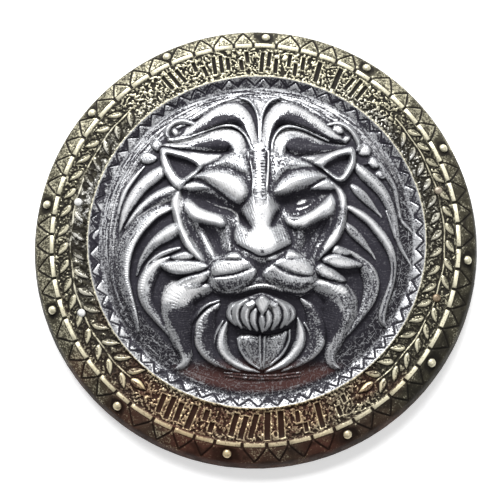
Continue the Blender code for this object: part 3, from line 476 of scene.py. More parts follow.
    # ---- nose, one with its bridge
    c.lobe([(-3, 48), (-8, 42), (-13, 34), (-17, 26), (-16, 18), (-12, 9), (-6, 2), (20, 2), (24, 10), (28, 20), (29, 28), (24, 36), (17, 43), (13, 48)], 9.5, 13, power=.7, moat=0)
    c.lobe([(-6, 14), (-13, 14), (-20, 12), (-24, 2), (-22.5, -6), (-18.5, -10), (-8, -15), (2, -20), (9, -20.5), (19, -17), (30, -12), (36.5, -8), (36, -1), (32.5, 8), (27, 13), (19, 14), (12, 20), (2, 20)], 10.5, 9, tilt=(0, -.1), moat=0)
    c.line([(-20, 12, 0), (-24, 2, 0), (-22.5, -6, 0), (-18.5, -10.5, 0), (-8, -15.5, 0), (2, -20.5, 0), (9, -21, 0), (19, -17.5, 0), (30, -12.5, 0), (37, -8, 0), (36.5, -1, 0), (33, 8, 0)], 1.2, .8)
    c.swell([(-15, 22, 3.2), (-10.5, 14, 3.6), (-7, 8, 2.6)], [-4, -5, -2], target='F')
    c.swell([(25, 27, 3.2), (20.5, 18, 4), (16.5, 11, 2.8)], [-4, -5, -2], target='F')
    # ---- muzzle: two cushions, each split into pads
    c.lobe([(-52, -33), (-46, -23), (-32, -17), (-12, -20), (0, -30), (1, -40), (-6, -50), (-16, -57), (-28, -61), (-41, -59), (-50, -50)], 6.2, 7, power=.6, moat=.3)
    c.lobe([(64, -33), (57, -21), (42, -15), (26, -18), (13, -27), (5, -38), (10, -47), (20, -54), (32, -60), (46, -62), (57, -57), (63, -46)], 6.2, 7, power=.6, moat=.3)
    c.lobe([(-47, -35), (-43, -28), (-34, -25), (-18, -25), (-8.5, -26.5), (-6, -31), (-9.5, -34.6), (-20, -38.4), (-32, -40.4), (-44, -41)], 8.5, 4, power=.4, moat=.45, mw=.5, out=.9)
    c.lobe([(-45, -43), (-31, -41.9), (-19, -39.2), (-9, -35.2), (-1, -34.5), (-1, -40), (-7, -46.5), (-15.5, -52), (-27, -56.5), (-38, -54.5), (-43.5, -49.5)], 8.0, 4, power=.4, moat=.45, mw=.5, out=.9)
    c.lobe([(-32, -22.4), (-28, -18), (-22, -17), (-17, -19.8), (-16, -23.5), (-24, -23.8)], 8.6, 3.5, moat=.5, out=1.2)
    c.lobe([(19.5, -29.5), (25.5, -24.2), (33, -21.6), (45.5, -23), (54, -28), (58.5, -35), (57, -41), (49, -41.7), (39, -38.7), (29, -34.6)], 8.5, 4, power=.4, moat=.45, mw=.5, out=.9)
    c.lobe([(7, -39), (12.5, -33), (19, -30.2), (24, -34.8), (33, -39.4), (44, -42.4), (57, -42), (58, -47.5), (52, -53), (44, -56.5), (32, -54), (20.5, -48), (12, -43.2)], 8.0, 4, power=.4, moat=.45, mw=.5, out=.9)
    c.lobe([(30.5, -22), (33, -16), (37, -15), (42, -18), (47, -22), (38, -23)], 8.6, 3.5, moat=.5, out=1.2)
    c.lobe([(12, -23.5), (24, -17.5), (35.5, -12.5), (33, -16.5), (24, -21.5), (14, -26.5)], 5.0, 3, moat=.5)
    # ---- lips
    c.lock([(-27, -61.5, 1), (-18, -58, 2.0), (-6, -53.8, 2.5), (6, -51.8, 2.7), (18, -53.5, 2.5), (30, -58, 1.4)], 5.0, moat=1.0)
    c.lock([(-10, -50.5, .8), (4, -48.8, 1), (20, -51, 1.1), (38, -59.5, 1.1), (46, -63, .7)], 3.5, moat=.8)
    # ---- whisker tufts
    c.lobe([(-87, -22), (-80, -18.5), (-72, -16.8), (-65.5, -20.5), (-69, -24), (-80, -24.8)], 6.5, 3, moat=.6, power=.4, out=1.5)
    c.lobe([(-98, -29.5), (-90, -27), (-74, -26), (-60, -27), (-50.5, -31), (-55, -35), (-66, -38), (-82, -38.8), (-93, -35)], 8.5, 4, moat=.6, power=.4, out=1.5)
    c.lobe([(-49.5, -36), (-58, -38.8), (-67, -41), (-76, -45), (-81.5, -49.5), (-73, -53), (-62, -52), (-53, -46), (-48.5, -40)], 8.0, 4, moat=.6, power=.4, out=1.5)
    c.lobe([(79, -17.5), (82.5, -11), (88, -13.5), (96, -19), (87, -19.8)], 6.5, 3, moat=.6, power=.4, out=1.5)
    c.lobe([(69, -25.5), (76, -20.5), (86, -20.8), (96, -24.5), (108, -30.5), (98, -33), (85, -33), (76, -30)], 8.5, 4, moat=.6, power=.4, out=1.5)
    c.lobe([(61, -36.5), (66, -30), (73, -32), (81, -37), (91, -46.5), (83, -47.3), (72, -43.5)], 8.0, 4, moat=.6, power=.4, out=1.5)
    # ---- bud under the lip
    c.lobe([(-30.5, -78), (-27, -70), (-15, -66), (-4, -61.5), (6, -59), (16, -62), (27, -67), (36, -73), (39, -81), (34, -91), (22, -97), (6, -100), (-8, -97.5), (-22, -92), (-29, -86)], 9.0, 13, moat=1.4)
    for s in (-1, 1):
        c.lock([(5 + s * 20, -68, 2), (5 + s * 30, -75, 3), (5 + s * 32, -83, 3), (5 + s * 26, -92, 1)], 3.6, lift=6.0, moat=1.1)
        c.lock([(5 + s * 15, -67, 2.5), (5 + s * 24, -74, 3.6), (5 + s * 26, -84, 3.4), (5 + s * 20, -95, 1)], 4.0, lift=7.6, moat=1.1)
        c.lock([(5 + s * 9, -68, 2), (5 + s * 15.5, -76, 4.2), (5 + s * 16.5, -86, 4), (5 + s * 11, -96.5, 1)], 4.2, lift=8.8, moat=1.1)
        c.lock([(5 + s * 4, -74, 1.5), (5 + s * 7.5, -82, 3.6), (5 + s * 7.5, -90, 3.2), (5 + s * 4, -97.5, 1)], 4.2, lift=9.6, moat=1.1)
    c.lock([(6, -80, 1.5), (6, -89, 3.4), (6.3, -99, .8)], 4.2, lift=10.6, moat=1.1)
    c.lock([(-10, -71, .8), (-7, -73, 1.6), (-2, -70.5, 1.8), (0, -67, .8)], 3.2, lift=10.5, moat=.8)
    c.lock([(21, -71, .8), (18, -73, 1.6), (14, -70.5, 1.8), (12.5, -67, .8)], 3.2, lift=10.5, moat=.8)
    c.lobe([(0, -67.5), (6, -62.5), (13, -67), (12, -73.5), (6.5, -81.5), (1, -74)], 4.6, 4, lift=11.0, moat=1.3)
    # ---- ears' hollows
    for pts, dep in (([(-95, 88.5), (-82, 86.5), (-70, 82.5), (-60.5, 76.5), (-61, 71.5), (-68, 65.5), (-76, 60.5), (-82, 63), (-89, 73)], 9.0), ([(98, 87.5), (88, 86.5), (77, 81), (69, 73.5), (75, 67.5), (84, 61.5), (91, 63), (96, 72), (99.5, 80)], 9.0)):
        idx, m = c.within(pts, 4.5)
        c.F[idx] -= dep * m
        c.G[idx] *= 1 - 0.5 * m
    # ---- forehead band
    c.lock([(-8.5, 90, .8), (-5.0, 74, 1.1), (-3.0, 58, 1.2), (-4.5, 44, .9)], 3.6, lift=3.4, moat=.8, mw=.7)
    c.lock([(13, 91, .8), (12.8, 74, 1.2), (11.8, 58, 1.2), (10.5, 45, .9)], 3.6, lift=3.4, moat=.8, mw=.7)
    c.lock([(4, 94, 6), (4, 66, 6.4), (4.5, 44, 6.2), (5, 36, 5.5)], 1.6, lift=5.2, moat=.3, steep=.35, taper=0.3, over=True)


def tones(c):
    """Where the dark wash and painted shade lie, and where the paint is rubbed bright and painted highlights go, stroke
    by stroke.
    """
    x, y = c.x, c.y
    r = np.hypot(x - 2, y - 1)
    bed = (1 - sstep(0.2, 2.0, c.F)) * (1 - sstep(146, 154, r))
    c.wash_and_shade_map = np.maximum(c.wash_and_shade_map, 0.88 * bed)
    face = np.exp(-(((x - AXIS) / 30) ** 2 + ((y - 20) / 44) ** 2) ** 2)
    c.wash_and_shade_map *= 1 - 0.35 * face
    # top mane
    c.rub_and_highlight([(1, 94, 2), (-1.5, 106, 3), (-6, 118, 4.5), (-12, 130, 5.5), (-22, 137.5, 6), (-35, 135.5, 5.5), (-50, 127.5, 5), (-65, 117.5, 4), (-80, 109, 3), (-92, 104, 1)], .85)
    c.rub_and_highlight([(6.5, 94, 2), (8, 106, 3), (12, 120, 4), (17, 131, 5.5), (25, 138, 6), (37, 137, 6), (50, 130.5, 5.5), (62, 123, 4.5), (75, 113.5, 3.5), (88, 104.5, 1)], .7)
    c.rub_and_highlight([(-15, 92, 4.5), (-16, 98, 5.5), (-21, 106, 6), (-30, 111, 5.5), (-42, 109.5, 5), (-55, 105.5, 4.2), (-68, 102.5, 3), (-82, 101, 2), (-96, 98.5, 1)], .85)
    c.rub_and_highlight([(20, 92, 2.5), (21.5, 99, 4), (25.5, 106.5, 4.5), (32, 111.5, 4.5), (41, 111.5, 4), (51, 108, 3), (61, 103.8, 1.8), (72, 99.5, .8)], .75)
    c.wash_and_shade_in([(-3, 96), (-6, 106), (-9.5, 115), (-14, 124.5), (-22, 130), (-32, 131.5), (-46, 127.5), (-58, 118), (-70, 111.5), (-84, 106.5), (-84, 105), (-68, 109), (-54, 114), (-40, 119.5), (-28, 121), (-20, 118.5), (-12, 111), (-7, 102)], .96, 2.2)
    c.wash_and_shade_in([(-23.5, 91.5), (-26.5, 98), (-31, 103), (-42, 104), (-54, 101.5), (-68, 99), (-78, 98), (-66, 95.5), (-50, 93.5), (-36, 90.8)], .96, 1.8)
    c.wash_and_shade_in([(12, 97), (14, 109), (18.5, 121), (25, 129.5), (34, 132), (46, 129), (57, 121.5), (68, 113.5), (80, 106), (93, 102.5), (96, 99.5), (80, 100.5), (66, 107.5), (52, 115.5), (38, 119.5), (28, 118.5), (20.5, 111.5), (16, 102), (14.5, 95)], .96, 2.2)
    c.wash_and_shade_in([(30, 91.5), (31, 98.5), (36, 103.5), (44, 105.5), (54, 103.5), (66, 99.5), (80, 97.5), (94, 95), (82, 92), (66, 89), (54, 86), (45, 87), (38, 89.5)], .96, 1.8)
    c.teeth([(-14, 127, 2.2), (-24, 132, 2.8), (-38, 130.5, 2.8), (-52, 122.5, 2.4), (-64, 114.5, 1.6)], 2.1, .85, .3)
    c.teeth([(-29, 99, 1.8), (-36, 103.5, 2), (-48, 103.5, 2), (-62, 101, 1.4)], 2.2, .8, .3)
    c.teeth([(22, 129, 2.2), (34, 133, 2.6), (48, 129, 2.6), (60, 120.5, 2.2), (72, 112, 1.6)], 2.1, .8, .3)
    c.teeth([(33, 102, 1.6), (42, 106, 2), (54, 104, 2), (64, 100.5, 1.2)], 2.2, .7, .3)
    for line in ([(2.2, 96, .5), (1.8, 112, .7), (.5, 124, .8), (-4, 135, 1), (-13, 143.5, 1), (-24, 146.5, .8), (-42, 141.5, .7), (-60, 130.5, .6), (-76, 120.5, .5)], [(5.8, 96, .5), (6.2, 112, .7), (7.5, 124, .8), (12, 135, 1), (20, 142.5, 1), (30, 146.5, .8), (46, 142.5, .7), (62, 132, .6), (78, 122, .5)], [(-3, 94, .5), (-8, 104, .8), (-14.5, 113, .8), (-24, 117.6, .8), (-38, 116.2, .7), (-54, 111, .6), (-70, 105.5, .5)], [(18.5, 95, .6), (20, 104, .8), (26, 112.5, .8), (35, 115.6, .8), (48, 112.5, .7), (62, 106, .5)]):
        c.wash_and_shade(line, .9, .5)
    c.rub_and_highlight([(4, 92, .4), (4, 110, .5), (4, 124, .5)], .5, .4)
    c.rub_and_highlight_in([(4.5, 128), (2, 136), (-3, 144), (4, 146), (11, 144), (7.5, 137)], .6, 1.5)
    c.rub_and_highlight([(-4, 93, .4), (-12, 109.5, .6), (-28, 119.2, .7), (-52, 113.5, .6), (-80, 104.5, .4)], .6, .4)
    # head planes
    c.rub_and_highlight_in([(-38, 86), (-52, 88), (-72, 90.5), (-86, 91.5), (-68, 84), (-59, 76), (-48, 79)], .95, 2)
    c.rub_and_highlight_in([(50, 84), (66, 87.5), (84, 91), (97, 92.5), (84, 86), (74, 81), (66, 76), (57, 79)], .35, 3)
    c.wash_and_shade([(-96, 95.5, .5), (-76, 94, .9), (-56, 91.5, .9), (-38, 88.5, .9), (-24, 91, .7)], .85, .6)
    c.wash_and_shade([(-62, 75, .8), (-52, 76.5, .8), (-44, 79, .7), (-34, 86, .6)], .6, .6)
    c.wash_and_shade_in([(-46, 75), (-38, 82), (-28, 89), (-20, 92), (-13, 90), (-9, 80), (-7, 68), (-16, 68), (-28, 73.5), (-38, 75.5)], .30, 4)
    c.rub_and_highlight_in([(-26, 79), (-19, 84), (-14, 78), (-17, 73), (-26, 75.5)], .2, 3)
    c.wash_and_shade_in([(15, 88), (26, 87.5), (40, 83), (54, 76), (44, 73), (32, 70), (25, 61), (18, 60), (14.5, 70)], .30, 4)
    c.wash_and_shade([(-6.5, 90, 1), (-7, 78, 1.2), (-4.5, 64, 1.2), (-5.6, 52, 1.0), (-4.5, 42, .8)], .85, .8)
    c.wash_and_shade([(-1, 91, .8), (-1, 70, .9), (-1.2, 54, .9), (0, 43, .7)], .6, .7)
    c.wash_and_shade([(10.4, 90, 1), (10.2, 72, 1.2), (9.8, 56, 1.1), (9.2, 43, .8)], .85, .8)
    c.wash_and_shade([(14.6, 88, .8), (14.6, 72, 1.2), (14, 58, 1.2), (14, 44, 1.6)], .8, .8)
    c.rub_and_highlight([(2.8, 90, 1.8), (2.6, 70, 2.2), (2.8, 50, 2)], .75, 1.4)
    c.rub_and_highlight([(12.6, 88, .5), (12.6, 70, .6), (11.6, 50, .5)], .6, .4)
    c.teeth([(7.6, 91, 3), (7.4, 68, 3.2), (7.5, 44, 3)], 3.4, .9, .7)
    c.teeth([(0, 90, 2.2), (-.2, 68, 2.4), (.6, 44, 2.2)], 3.4, .6, .5)
    c.teeth([(17.5, 86, 2.4), (17.5, 70, 2.6), (17, 54, 2.4)], 3.4, .65, .5)
    # brows
    c.rub_and_highlight_in([(-54, 64), (-42, 68.5), (-28, 66.5), (-16, 60), (-10, 52), (-10, 44), (-15, 38), (-21, 38), (-30, 45), (-42, 54)], .95, 5)
    c.rub_and_highlight_in([(20, 48), (23, 46), (32, 47), (42, 51), (48, 57), (42, 60), (32, 57), (24, 54)], .85, 4)
    c.wash_and_shade([(-76, 60.5, .7), (-64, 61.5, 1.2), (-54, 57.5, 1.5), (-40, 47.5, 2), (-26, 36.5, 2), (-17, 32, 1.2)], .9, .9)
    c.wash_and_shade([(18, 42.5, 1), (30, 40, 2.2), (42, 45, 2.4), (54, 50, 1.6), (66, 57.5, .9), (74, 61.5, .6)], .9, 1)
    c.wash_and_shade([(-46, 75, .6), (-36, 75.3, .8), (-24, 71.5, .9), (-12, 65, 1), (-6, 56, 1), (-4.5, 46, .9)], .75, .7)
    c.wash_and_shade([(23, 58, .7), (28, 65, 1), (38, 70.5, 1), (52, 72.3, .9), (64, 71.5, .8), (74, 66.5, .6)], .8, .7)
    c.rub_and_highlight_in([(-76, 52.5), (-70, 56), (-62, 56.5), (-56, 54), (-62, 51.5), (-70, 50.5)], .85, 2)
    c.rub_and_highlight_in([(60, 52), (68, 56), (75, 57.5), (80, 53), (72, 50.5)], .4, 2)
    # eyes
    c.wash_and_shade_in([(-70, 45), (-58, 48.5), (-46, 47), (-36, 40), (-27, 33), (-17, 33), (-12, 24), (-16, 14), (-21, 22), (-30, 20), (-42, 26.5), (-54, 28.5), (-64, 36)], .93, 3)
    c.wash_and_shade_in([(15, 41), (22, 42), (32, 42), (44, 46), (56, 49.5), (70, 49.5), (80, 49), (81, 44.5), (74, 43), (67, 37), (60, 31.5), (52, 25.5), (42, 22.8), (33, 23), (29, 26), (30, 33), (22, 34)], .93, 2)
    c.rub_and_highlight_in([(41.5, 34), (44.5, 37.6), (50.5, 39.4), (53.5, 38), (50, 34.6), (44.5, 32.8)], .97, 1.1)
    c.rub_and_highlight_in([(53, 38), (58, 39.5), (63, 37.5), (57, 34.5)], .32, 1.6)
    c.rub_and_highlight_in([(64, 40), (68, 44), (73, 44.5), (70, 40)], .7, 1.2)
    c.rub_and_highlight([(41, 28.2, .8), (47, 29, 1.3), (53, 31.2, 1), (58, 34.2, .5)], .92, .5)
    c.rub_and_highlight([(-56, 40.3, .4), (-45, 34.3, .7), (-36, 30.7, 1), (-27, 28.3, 1.1), (-20.7, 23.8, 1.1), (-18.7, 17, 1.1), (-20.5, 8, .8), (-22.5, 1, .4)], .88, .6)
    c.rub_and_highlight([(-54, 35, .3), (-46, 31, .5), (-37, 27.4, .7), (-28, 25.7, .6)], .5, .5)
    # cheekbones, bands of the jaw
    c.rub_and_highlight_in([(-69, 36), (-65, 36), (-60, 31), (-50, 26.5), (-40, 23.5), (-35, 19), (-35, 11), (-45, 13), (-55, 15.5), (-63, 19), (-69, 24)], .97, 2.8)
    c.rub_and_highlight_in([(-77, 35), (-72, 40), (-67, 37), (-67, 25), (-72, 24), (-76, 29)], .38, 3)
    c.rub_and_highlight_in([(31, 19), (34, 21), (42, 19.8), (52, 23), (62, 29), (69, 34.5), (72, 30), (66, 22), (57, 15.5), (50, 10.5), (42, 10), (33, 12.5)], .96, 2.2)
    c.rub_and_highlight_in([(68, 35), (75, 42), (80, 38), (79, 27), (71, 24)], .34, 3)
    c.wash_and_shade([(34, 18.2, .6), (39, 17.2, 1.2), (45, 17.2, .6)], .88, .5)
    c.rub_and_highlight_in([(-80, 47), (-86.5, 42), (-88, 37), (-86, 30), (-81, 21), (-77, 26), (-75.5, 34), (-76.5, 41)], .95, 1.8)
    c.rub_and_highlight([(-81, 24, 1.6), (-77.5, 11, 2), (-73, 1, 2), (-71, -6, 2.2), (-66.5, -14, 2.1), (-58, -22, 1.2)], .92, .9)
    c.rub_and_highlight([(-68.5, 3, .5), (-61.5, -5, .8), (-56, -16, .8)], .6, .6)
    c.wash_and_shade([(-66, 16, 3), (-60, 6, 3.4), (-54, -4, 3), (-48, -14, 3), (-44, -24, 2)], .42, 2.4)
    c.rub_and_highlight([(-55, 0, .7), (-51.5, -6, 1.4), (-47, -13, 2.2), (-43, -20, 1.8)], .5, 1.8)
    c.rub_and_highlight([(83, 51, 1.4), (88, 43.5, 3), (90.5, 36, 2.8), (89.5, 30, 1.2)], .85, 1.6)
    c.rub_and_highlight_in([(77, 7), (84.5, 7), (85, 0), (81, -8), (73, -15), (68.5, -11), (73, -3)], .94, 1.8)
    c.teeth([(86, 28, 3), (84, 16, 3), (79, 5, 2.6)], 2.2, .55, .3)
    c.teeth([(-66.5, 1, 2.4), (-60.5, -9, 2.8), (-55, -18, 2)], 2.2, .7, .4)
    c.wash_and_shade_in([(-61, 13.5), (-50, 11.5), (-41, 8.5), (-36.5, 4), (-35, -5), (-35, -15), (-38, -24), (-43, -14), (-48, -2), (-54, 6)], .94, 2.6)
    c.wash_and_shade([(-75.5, 35, 1), (-74, 24, 2), (-70.5, 12, 3), (-64, 2, 3.2), (-57.5, -8, 3), (-51, -22, 2.2)], .90, 1.8)
    c.wash_and_shade_in([(-36, 23), (-28, 26), (-22, 23), (-19.5, 12), (-24, 4), (-29, 9), (-34, 15)], .55, 2.4)
    c.wash_and_shade_in([(50, 7.5), (58, 13), (68, 18), (77, 18), (77, 9), (70, -1), (64, -11), (58, -24), (50, -24), (51, -8), (49, 2)], .90, 3)
    c.wash_and_shade([(80.5, 49, 1), (83.5, 38, 1.8), (83, 22, 2.4), (78, 8, 3), (71, -4, 3), (63, -20, 2.4)], .88, 1.8)
    c.wash_and_shade([(91.5, 28, 3), (88.5, 17, 3.6), (85.5, 9, 2)], .5, 2)
    c.wash_and_shade([(69, -14, 2.4), (62, -25, 2)], .6, 1.6)
    c.wash_and_shade_map[:] *= 1 - 0.24 * np.exp(-(((x + 52 + 0.5 * (y + 8)) / 5) ** 2 + ((y + 8) / 15) ** 2))
    c.wash_and_shade_map[:] *= 1 - 0.30 * np.exp(-(((x - 62) / 8) ** 2 + ((y + 4) / 11) ** 2))
    c.wash_and_shade([(-30, 14, 4), (-28.5, 2, 6.5), (-27.5, -10, 6)], .5, 3)
    c.wash_and_shade([(44, 8, 5), (45, 0, 6), (44, -10, 5)], .56, 3)
    # nose
    c.rub_and_highlight_in([(3, 40), (-2, 36), (-5, 28), (-4, 18), (-2, 8), (-8, 4), (-12, -2), (-9, -10), (0, -16), (9, -18), (18, -14), (22, -5), (19, 4), (14, 12), (16, 22), (17, 30), (12, 36)], .9, 5)
    c.wash_and_shade([(-13, 20, 1.6), (-9.5, 13, 2.2), (-6, 7, 1.4)], .85, 1.6)
    c.wash_and_shade([(24, 26, 1.6), (19, 17, 2.6), (15, 10, 1.4)], .8, 1.8)
    c.wash_and_shade_in([(-21, 10), (-13, 12), (-10, 6), (-14, 0), (-18, -7), (-22, -3)], .28, 3)
    c.wash_and_shade_in([(24, 11), (30, 10), (34, 2), (35, -6), (28, -10), (23, -2)], .30, 3)
    c.wash_and_shade([(-23, -4, .6), (-19, -11, 1.2), (-8, -16.5, 1.3), (2, -21.5, 1.4), (10, -22, 1.4), (20, -18.5, 1.3), (30, -14, 1.2), (37, -9, .8)], .92, .9)
    c.wash_and_shade_in([(4, -15.5), (7, -14), (10, -15.5), (8, -18), (5, -18)], .75, .8)
    # muzzle
    c.rub_and_highlight_in([(-43, -33), (-38, -29.5), (-20, -28), (-11, -29), (-13, -33), (-24, -36.5), (-38, -38.5)], .8, 2.2)
    c.rub_and_highlight_in([(24, -28.5), (33, -24.5), (45, -26), (53, -31), (54, -37), (44, -38), (33, -34)], .8, 2.2)
    c.rub_and_highlight_in([(-28, -21.5), (-25, -19), (-20, -19.5), (-18, -22.2), (-24, -22.6)], .9, 1)
    c.rub_and_highlight_in([(33, -21.5), (35, -17.5), (38, -17), (43, -21), (38, -22)], .9, 1)
    c.rub_and_highlight([(-40, -44, .8), (-28, -42.3, 1.3), (-16, -38.5, 1.3), (-6, -36, .9)], .85, .8)
    c.rub_and_highlight([(12, -35.5, .8), (18, -33, 1.6), (26, -38.5, 1.4), (36, -42.5, 1.2), (50, -44, .8)], .75, .8)
    c.wash_and_shade([(-46, -42.6, 1), (-34, -41.2, 1.2), (-20, -38.6, 1.2), (-8, -34.6, .8)], .95, .5)
    c.wash_and_shade([(20, -29.5, .6), (27, -35, 1.2), (38, -40, 1.3), (50, -42, 1.2), (57, -41, .8)], .95, .5)
    c.wash_and_shade([(-36, -23.4, .6), (-26, -25, .9), (-15, -24.6, .6)], .9, .5)
    c.wash_and_shade([(30, -23.8, .6), (38, -24, .8), (48, -23, .5)], .9, .5)
    for line in ([(-51, -33, .7), (-50.5, -43, 1), (-47, -52, 1.2), (-40, -58, 1.5), (-28, -61, 1.7), (-16, -57, 1.7), (-7, -51, 1.6), (1, -43, 1.5), (5, -36, 1.2)], [(63.5, -33, .7), (63.5, -43, 1), (58.5, -55, 1.2), (47, -60.5, 1.5), (33, -59, 1.6), (21, -53.5, 1.6), (11, -47.5, 1.5), (5, -40, 1.2)], [(-50, -33, .7), (-46, -27, 1), (-36, -23.4, 1), (-32, -19, .9), (-24, -15.5, .9), (-15, -18, .9), (-12, -24, 1.1), (-5, -26.5, 1.3), (1, -31, 1.3), (4, -36, 1)], [(62, -33, .7), (57, -26, 1), (49, -21.6, 1), (43, -15.5, .9), (36, -12.6, .9), (30, -15, .9), (27, -21.6, 1.1), (18, -26.4, 1.3), (10, -33, 1.3), (5, -39, 1)]):
        c.wash_and_shade(line, .92, .8)
    c.wash_and_shade_in([(-42, -46), (-28, -46), (-14, -43), (-5, -39), (-8, -47), (-18, -54), (-30, -58), (-41, -55)], .62, 3)
    c.wash_and_shade_in([(14, -42), (24, -43), (34, -46), (46, -47), (57, -47), (53, -56), (42, -58), (28, -55), (18, -49)], .62, 3)
    c.wash_and_shade_in([(-13, -20), (-6, -21.5), (3, -25.5), (10, -26), (20, -22.5), (29, -17.5), (26, -22), (18, -27), (10, -33), (5, -38), (0, -32), (-5, -27), (-11, -24)], .9, 1.4)
    c.wash_and_shade_in([(-8, -22), (4, -27), (14, -24), (18, -28), (10, -34), (4, -44), (0, -36), (-4, -33)], .9, 2)
    c.rub_and_highlight([(-20, -58.2, .8), (-6, -53.4, 1.6), (6, -51.3, 1.8), (18, -53, 1.6), (28, -57.2, 1)], .9, .7)
    c.teeth([(-24, -61, 2), (-12, -57, 2.6), (4, -53.4, 2.6), (20, -55.4, 2.6), (30, -59, 1.4)], 2.3, .8, .5, part=(-1, 1.2))
    # whisker tufts
    for pts in ([(-80, -22.5), (-72, -19), (-67.5, -21), (-72, -23.5)], [(-92, -30), (-82, -28.3), (-70, -28.2), (-58, -30), (-55, -32), (-64, -35.5), (-78, -36.5), (-90, -34)], [(-52, -38.5), (-60, -41.5), (-70, -46), (-77, -50), (-66, -50), (-56, -46)], [(82, -16.5), (84, -13), (91, -17.5)], [(73, -25.5), (79, -22.6), (90, -24.5), (102, -29.8), (90, -31), (79, -29.5)], [(64, -36.5), (68, -32.5), (75, -35.5), (84, -44), (76, -43)]):
        c.rub_and_highlight_in(pts, .92, 1.8)
    for line in ([(-100, -33, .6), (-92, -38, 1.2), (-76, -41.5, 1.3), (-62, -39, 1), (-52, -34, .7)], [(-82, -52, .8), (-74, -55, 1.3), (-62, -54.5, 1.3), (-52, -48, 1.1), (-48, -42, .8)], [(68, -28, .8), (78, -33, 1.3), (92, -35.5, 1.4), (104, -33.5, .8)], [(62, -40, .8), (70, -46, 1.3), (82, -50, 1.4), (92, -48, .8)]):
        c.wash_and_shade(line, .93, .6)
    # bud
    c.rub_and_highlight_in([(2, -68), (6, -64.5), (11, -68), (10, -73), (6.5, -78.5), (2.5, -73)], .95, 1.2)
    for s in (-1, 1):
        c.rub_and_highlight([(5 + s * 7, -73, .8), (5 + s * 12, -76, 1.8), (5 + s * 15, -82, 1.8), (5 + s * 13, -88, 1)], .85, 1)
        c.rub_and_highlight([(5 + s * 20, -70, .8), (5 + s * 24, -76, 1.4), (5 + s * 24, -84, 1)], .8, .8)
        c.rub_and_highlight([(5 + s * 31, -75, .5), (5 + s * 33, -81, .8), (5 + s * 31, -87, .5)], .5, .7)
        c.rub_and_highlight([(5 + s * 7, -80, .8), (5 + s * 8, -86, 1.4), (5 + s * 6, -92, .7)], .75, .9)
    # beard
    c.rub_and_highlight([(-42, -73.5, .8), (-53, -81, 1.3), (-60.5, -91, 1.5), (-62.5, -102, 1.5), (-60, -114, 1.4), (-52, -125.5, 1.2), (-40, -134, .8)], .95, .7)
    c.rub_and_highlight([(47, -67, .8), (58, -75, 1.2), (66, -85, 1.3), (70, -96, 1.3), (70, -106, 1), (66, -117, .8), (57, -126, .6)], .95, .7)
    c.rub_and_highlight([(-31, -93, .8), (-36, -104, 1.8), (-36.5, -115, 2), (-31, -124, 1.6), (-20, -132, 1.2), (-6, -138, .8)], .95, 1)
    c.rub_and_highlight([(43, -89, .8), (45.5, -100, 2.2), (43.5, -111, 2.2), (37, -120.5, 2), (27, -129, 1.4), (13, -137.5, .9)], .9, 1)
    c.wash_and_shade_in([(-39, -75), (-48, -83), (-55, -94), (-57, -107), (-51, -120), (-40, -128), (-38, -118), (-41, -104), (-39, -92), (-35, -82)], .84, 3)
    c.wash_and_shade_in([(48, -74), (56, -82), (63, -93), (64, -106), (58, -118), (50, -124), (49, -112), (51, -98), (48, -86)], .62, 3)
    c.wash_and_shade_in([(-26, -93), (-22, -96), (-16, -99), (-19, -104), (-18, -114), (-12, -126), (-22, -124), (-30, -112), (-29, -100)], .85, 1.6)
    c.wash_and_shade_in([(-18, -98), (-8, -101.5), (6, -104), (20, -101.5), (33, -96), (37, -90), (30, -93), (18, -98.5), (6, -101.5), (-8, -99)], .95, 1)
    c.wash_and_shade_in([(-15, -106), (-14, -116), (-8, -126), (2, -133), (2, -106), (-6, -104.5)], .38, 1.5)
    c.wash_and_shade([(6, -103, .9), (6, -120, .9), (6, -136, .5)], .9, .5)
    c.teeth([(-10, -106, 5), (-6, -118, 7), (0, -130, 3)], 1.9, .5, .3, lean=3)
    c.teeth([(20, -104, 9), (18, -114, 8), (12, -128, 4)], 1.9, .5, .3, lean=-3)
    c.teeth([(-50, -84, 4), (-54, -98, 6), (-52, -112, 6), (-42, -126, 4)], 1.7, .5, .3, lean=2)
    c.teeth([(56, -80, 4), (62, -94, 6), (61, -108, 6), (52, -121, 4)], 1.7, .5, .3, lean=2)
    # great S locks
    c.rub_and_highlight_in([(-48, -51), (-56, -52.5), (-66, -53), (-76, -51), (-84, -45), (-93, -50), (-98, -62), (-97, -70), (-88, -70), (-78, -71), (-66, -69), (-57, -61)], .95, 4)
    c.rub_and_highlight([(-96, -68, .8), (-95.5, -80, .9), (-90, -94, .9), (-82, -108, .8), (-75.5, -120, .9), (-73, -130, 1.4), (-80, -135, .8)], .6, .7)
    c.wash_and_shade_in([(-44, -60), (-56, -61), (-66, -66), (-74, -72), (-86, -74), (-92, -80), (-88, -92), (-80, -108), (-74, -122), (-66, -122), (-60, -104), (-60, -90), (-56, -78), (-46, -68)], .90, 4)
    c.teeth([(-58, -62, 3), (-66, -69, 4), (-70, -78, 4)], 1.8, .8, .3)
    c.rub_and_highlight_in([(61, -45), (66, -44), (74, -48), (84, -52), (92, -54), (92, -60), (84, -60), (74, -53), (64, -50)], .8, 2)
    c.rub_and_highlight([(101, -56, .7), (103, -68, .8), (100, -80, .8), (92, -96, .7), (84, -110, .7)], .45, .7)
    c.rub_and_highlight([(88, -72, 2), (86, -86, 2.2), (82, -98, 2), (76, -112, 2), (72, -124, 1.6), (74, -132, 2)], .35, 1.4)
    c.wash_and_shade_in([(52, -60), (64, -57), (74, -62), (82, -70), (90, -82), (86, -96), (78, -110), (71, -112), (64, -100), (62, -86), (56, -74)], .90, 4)
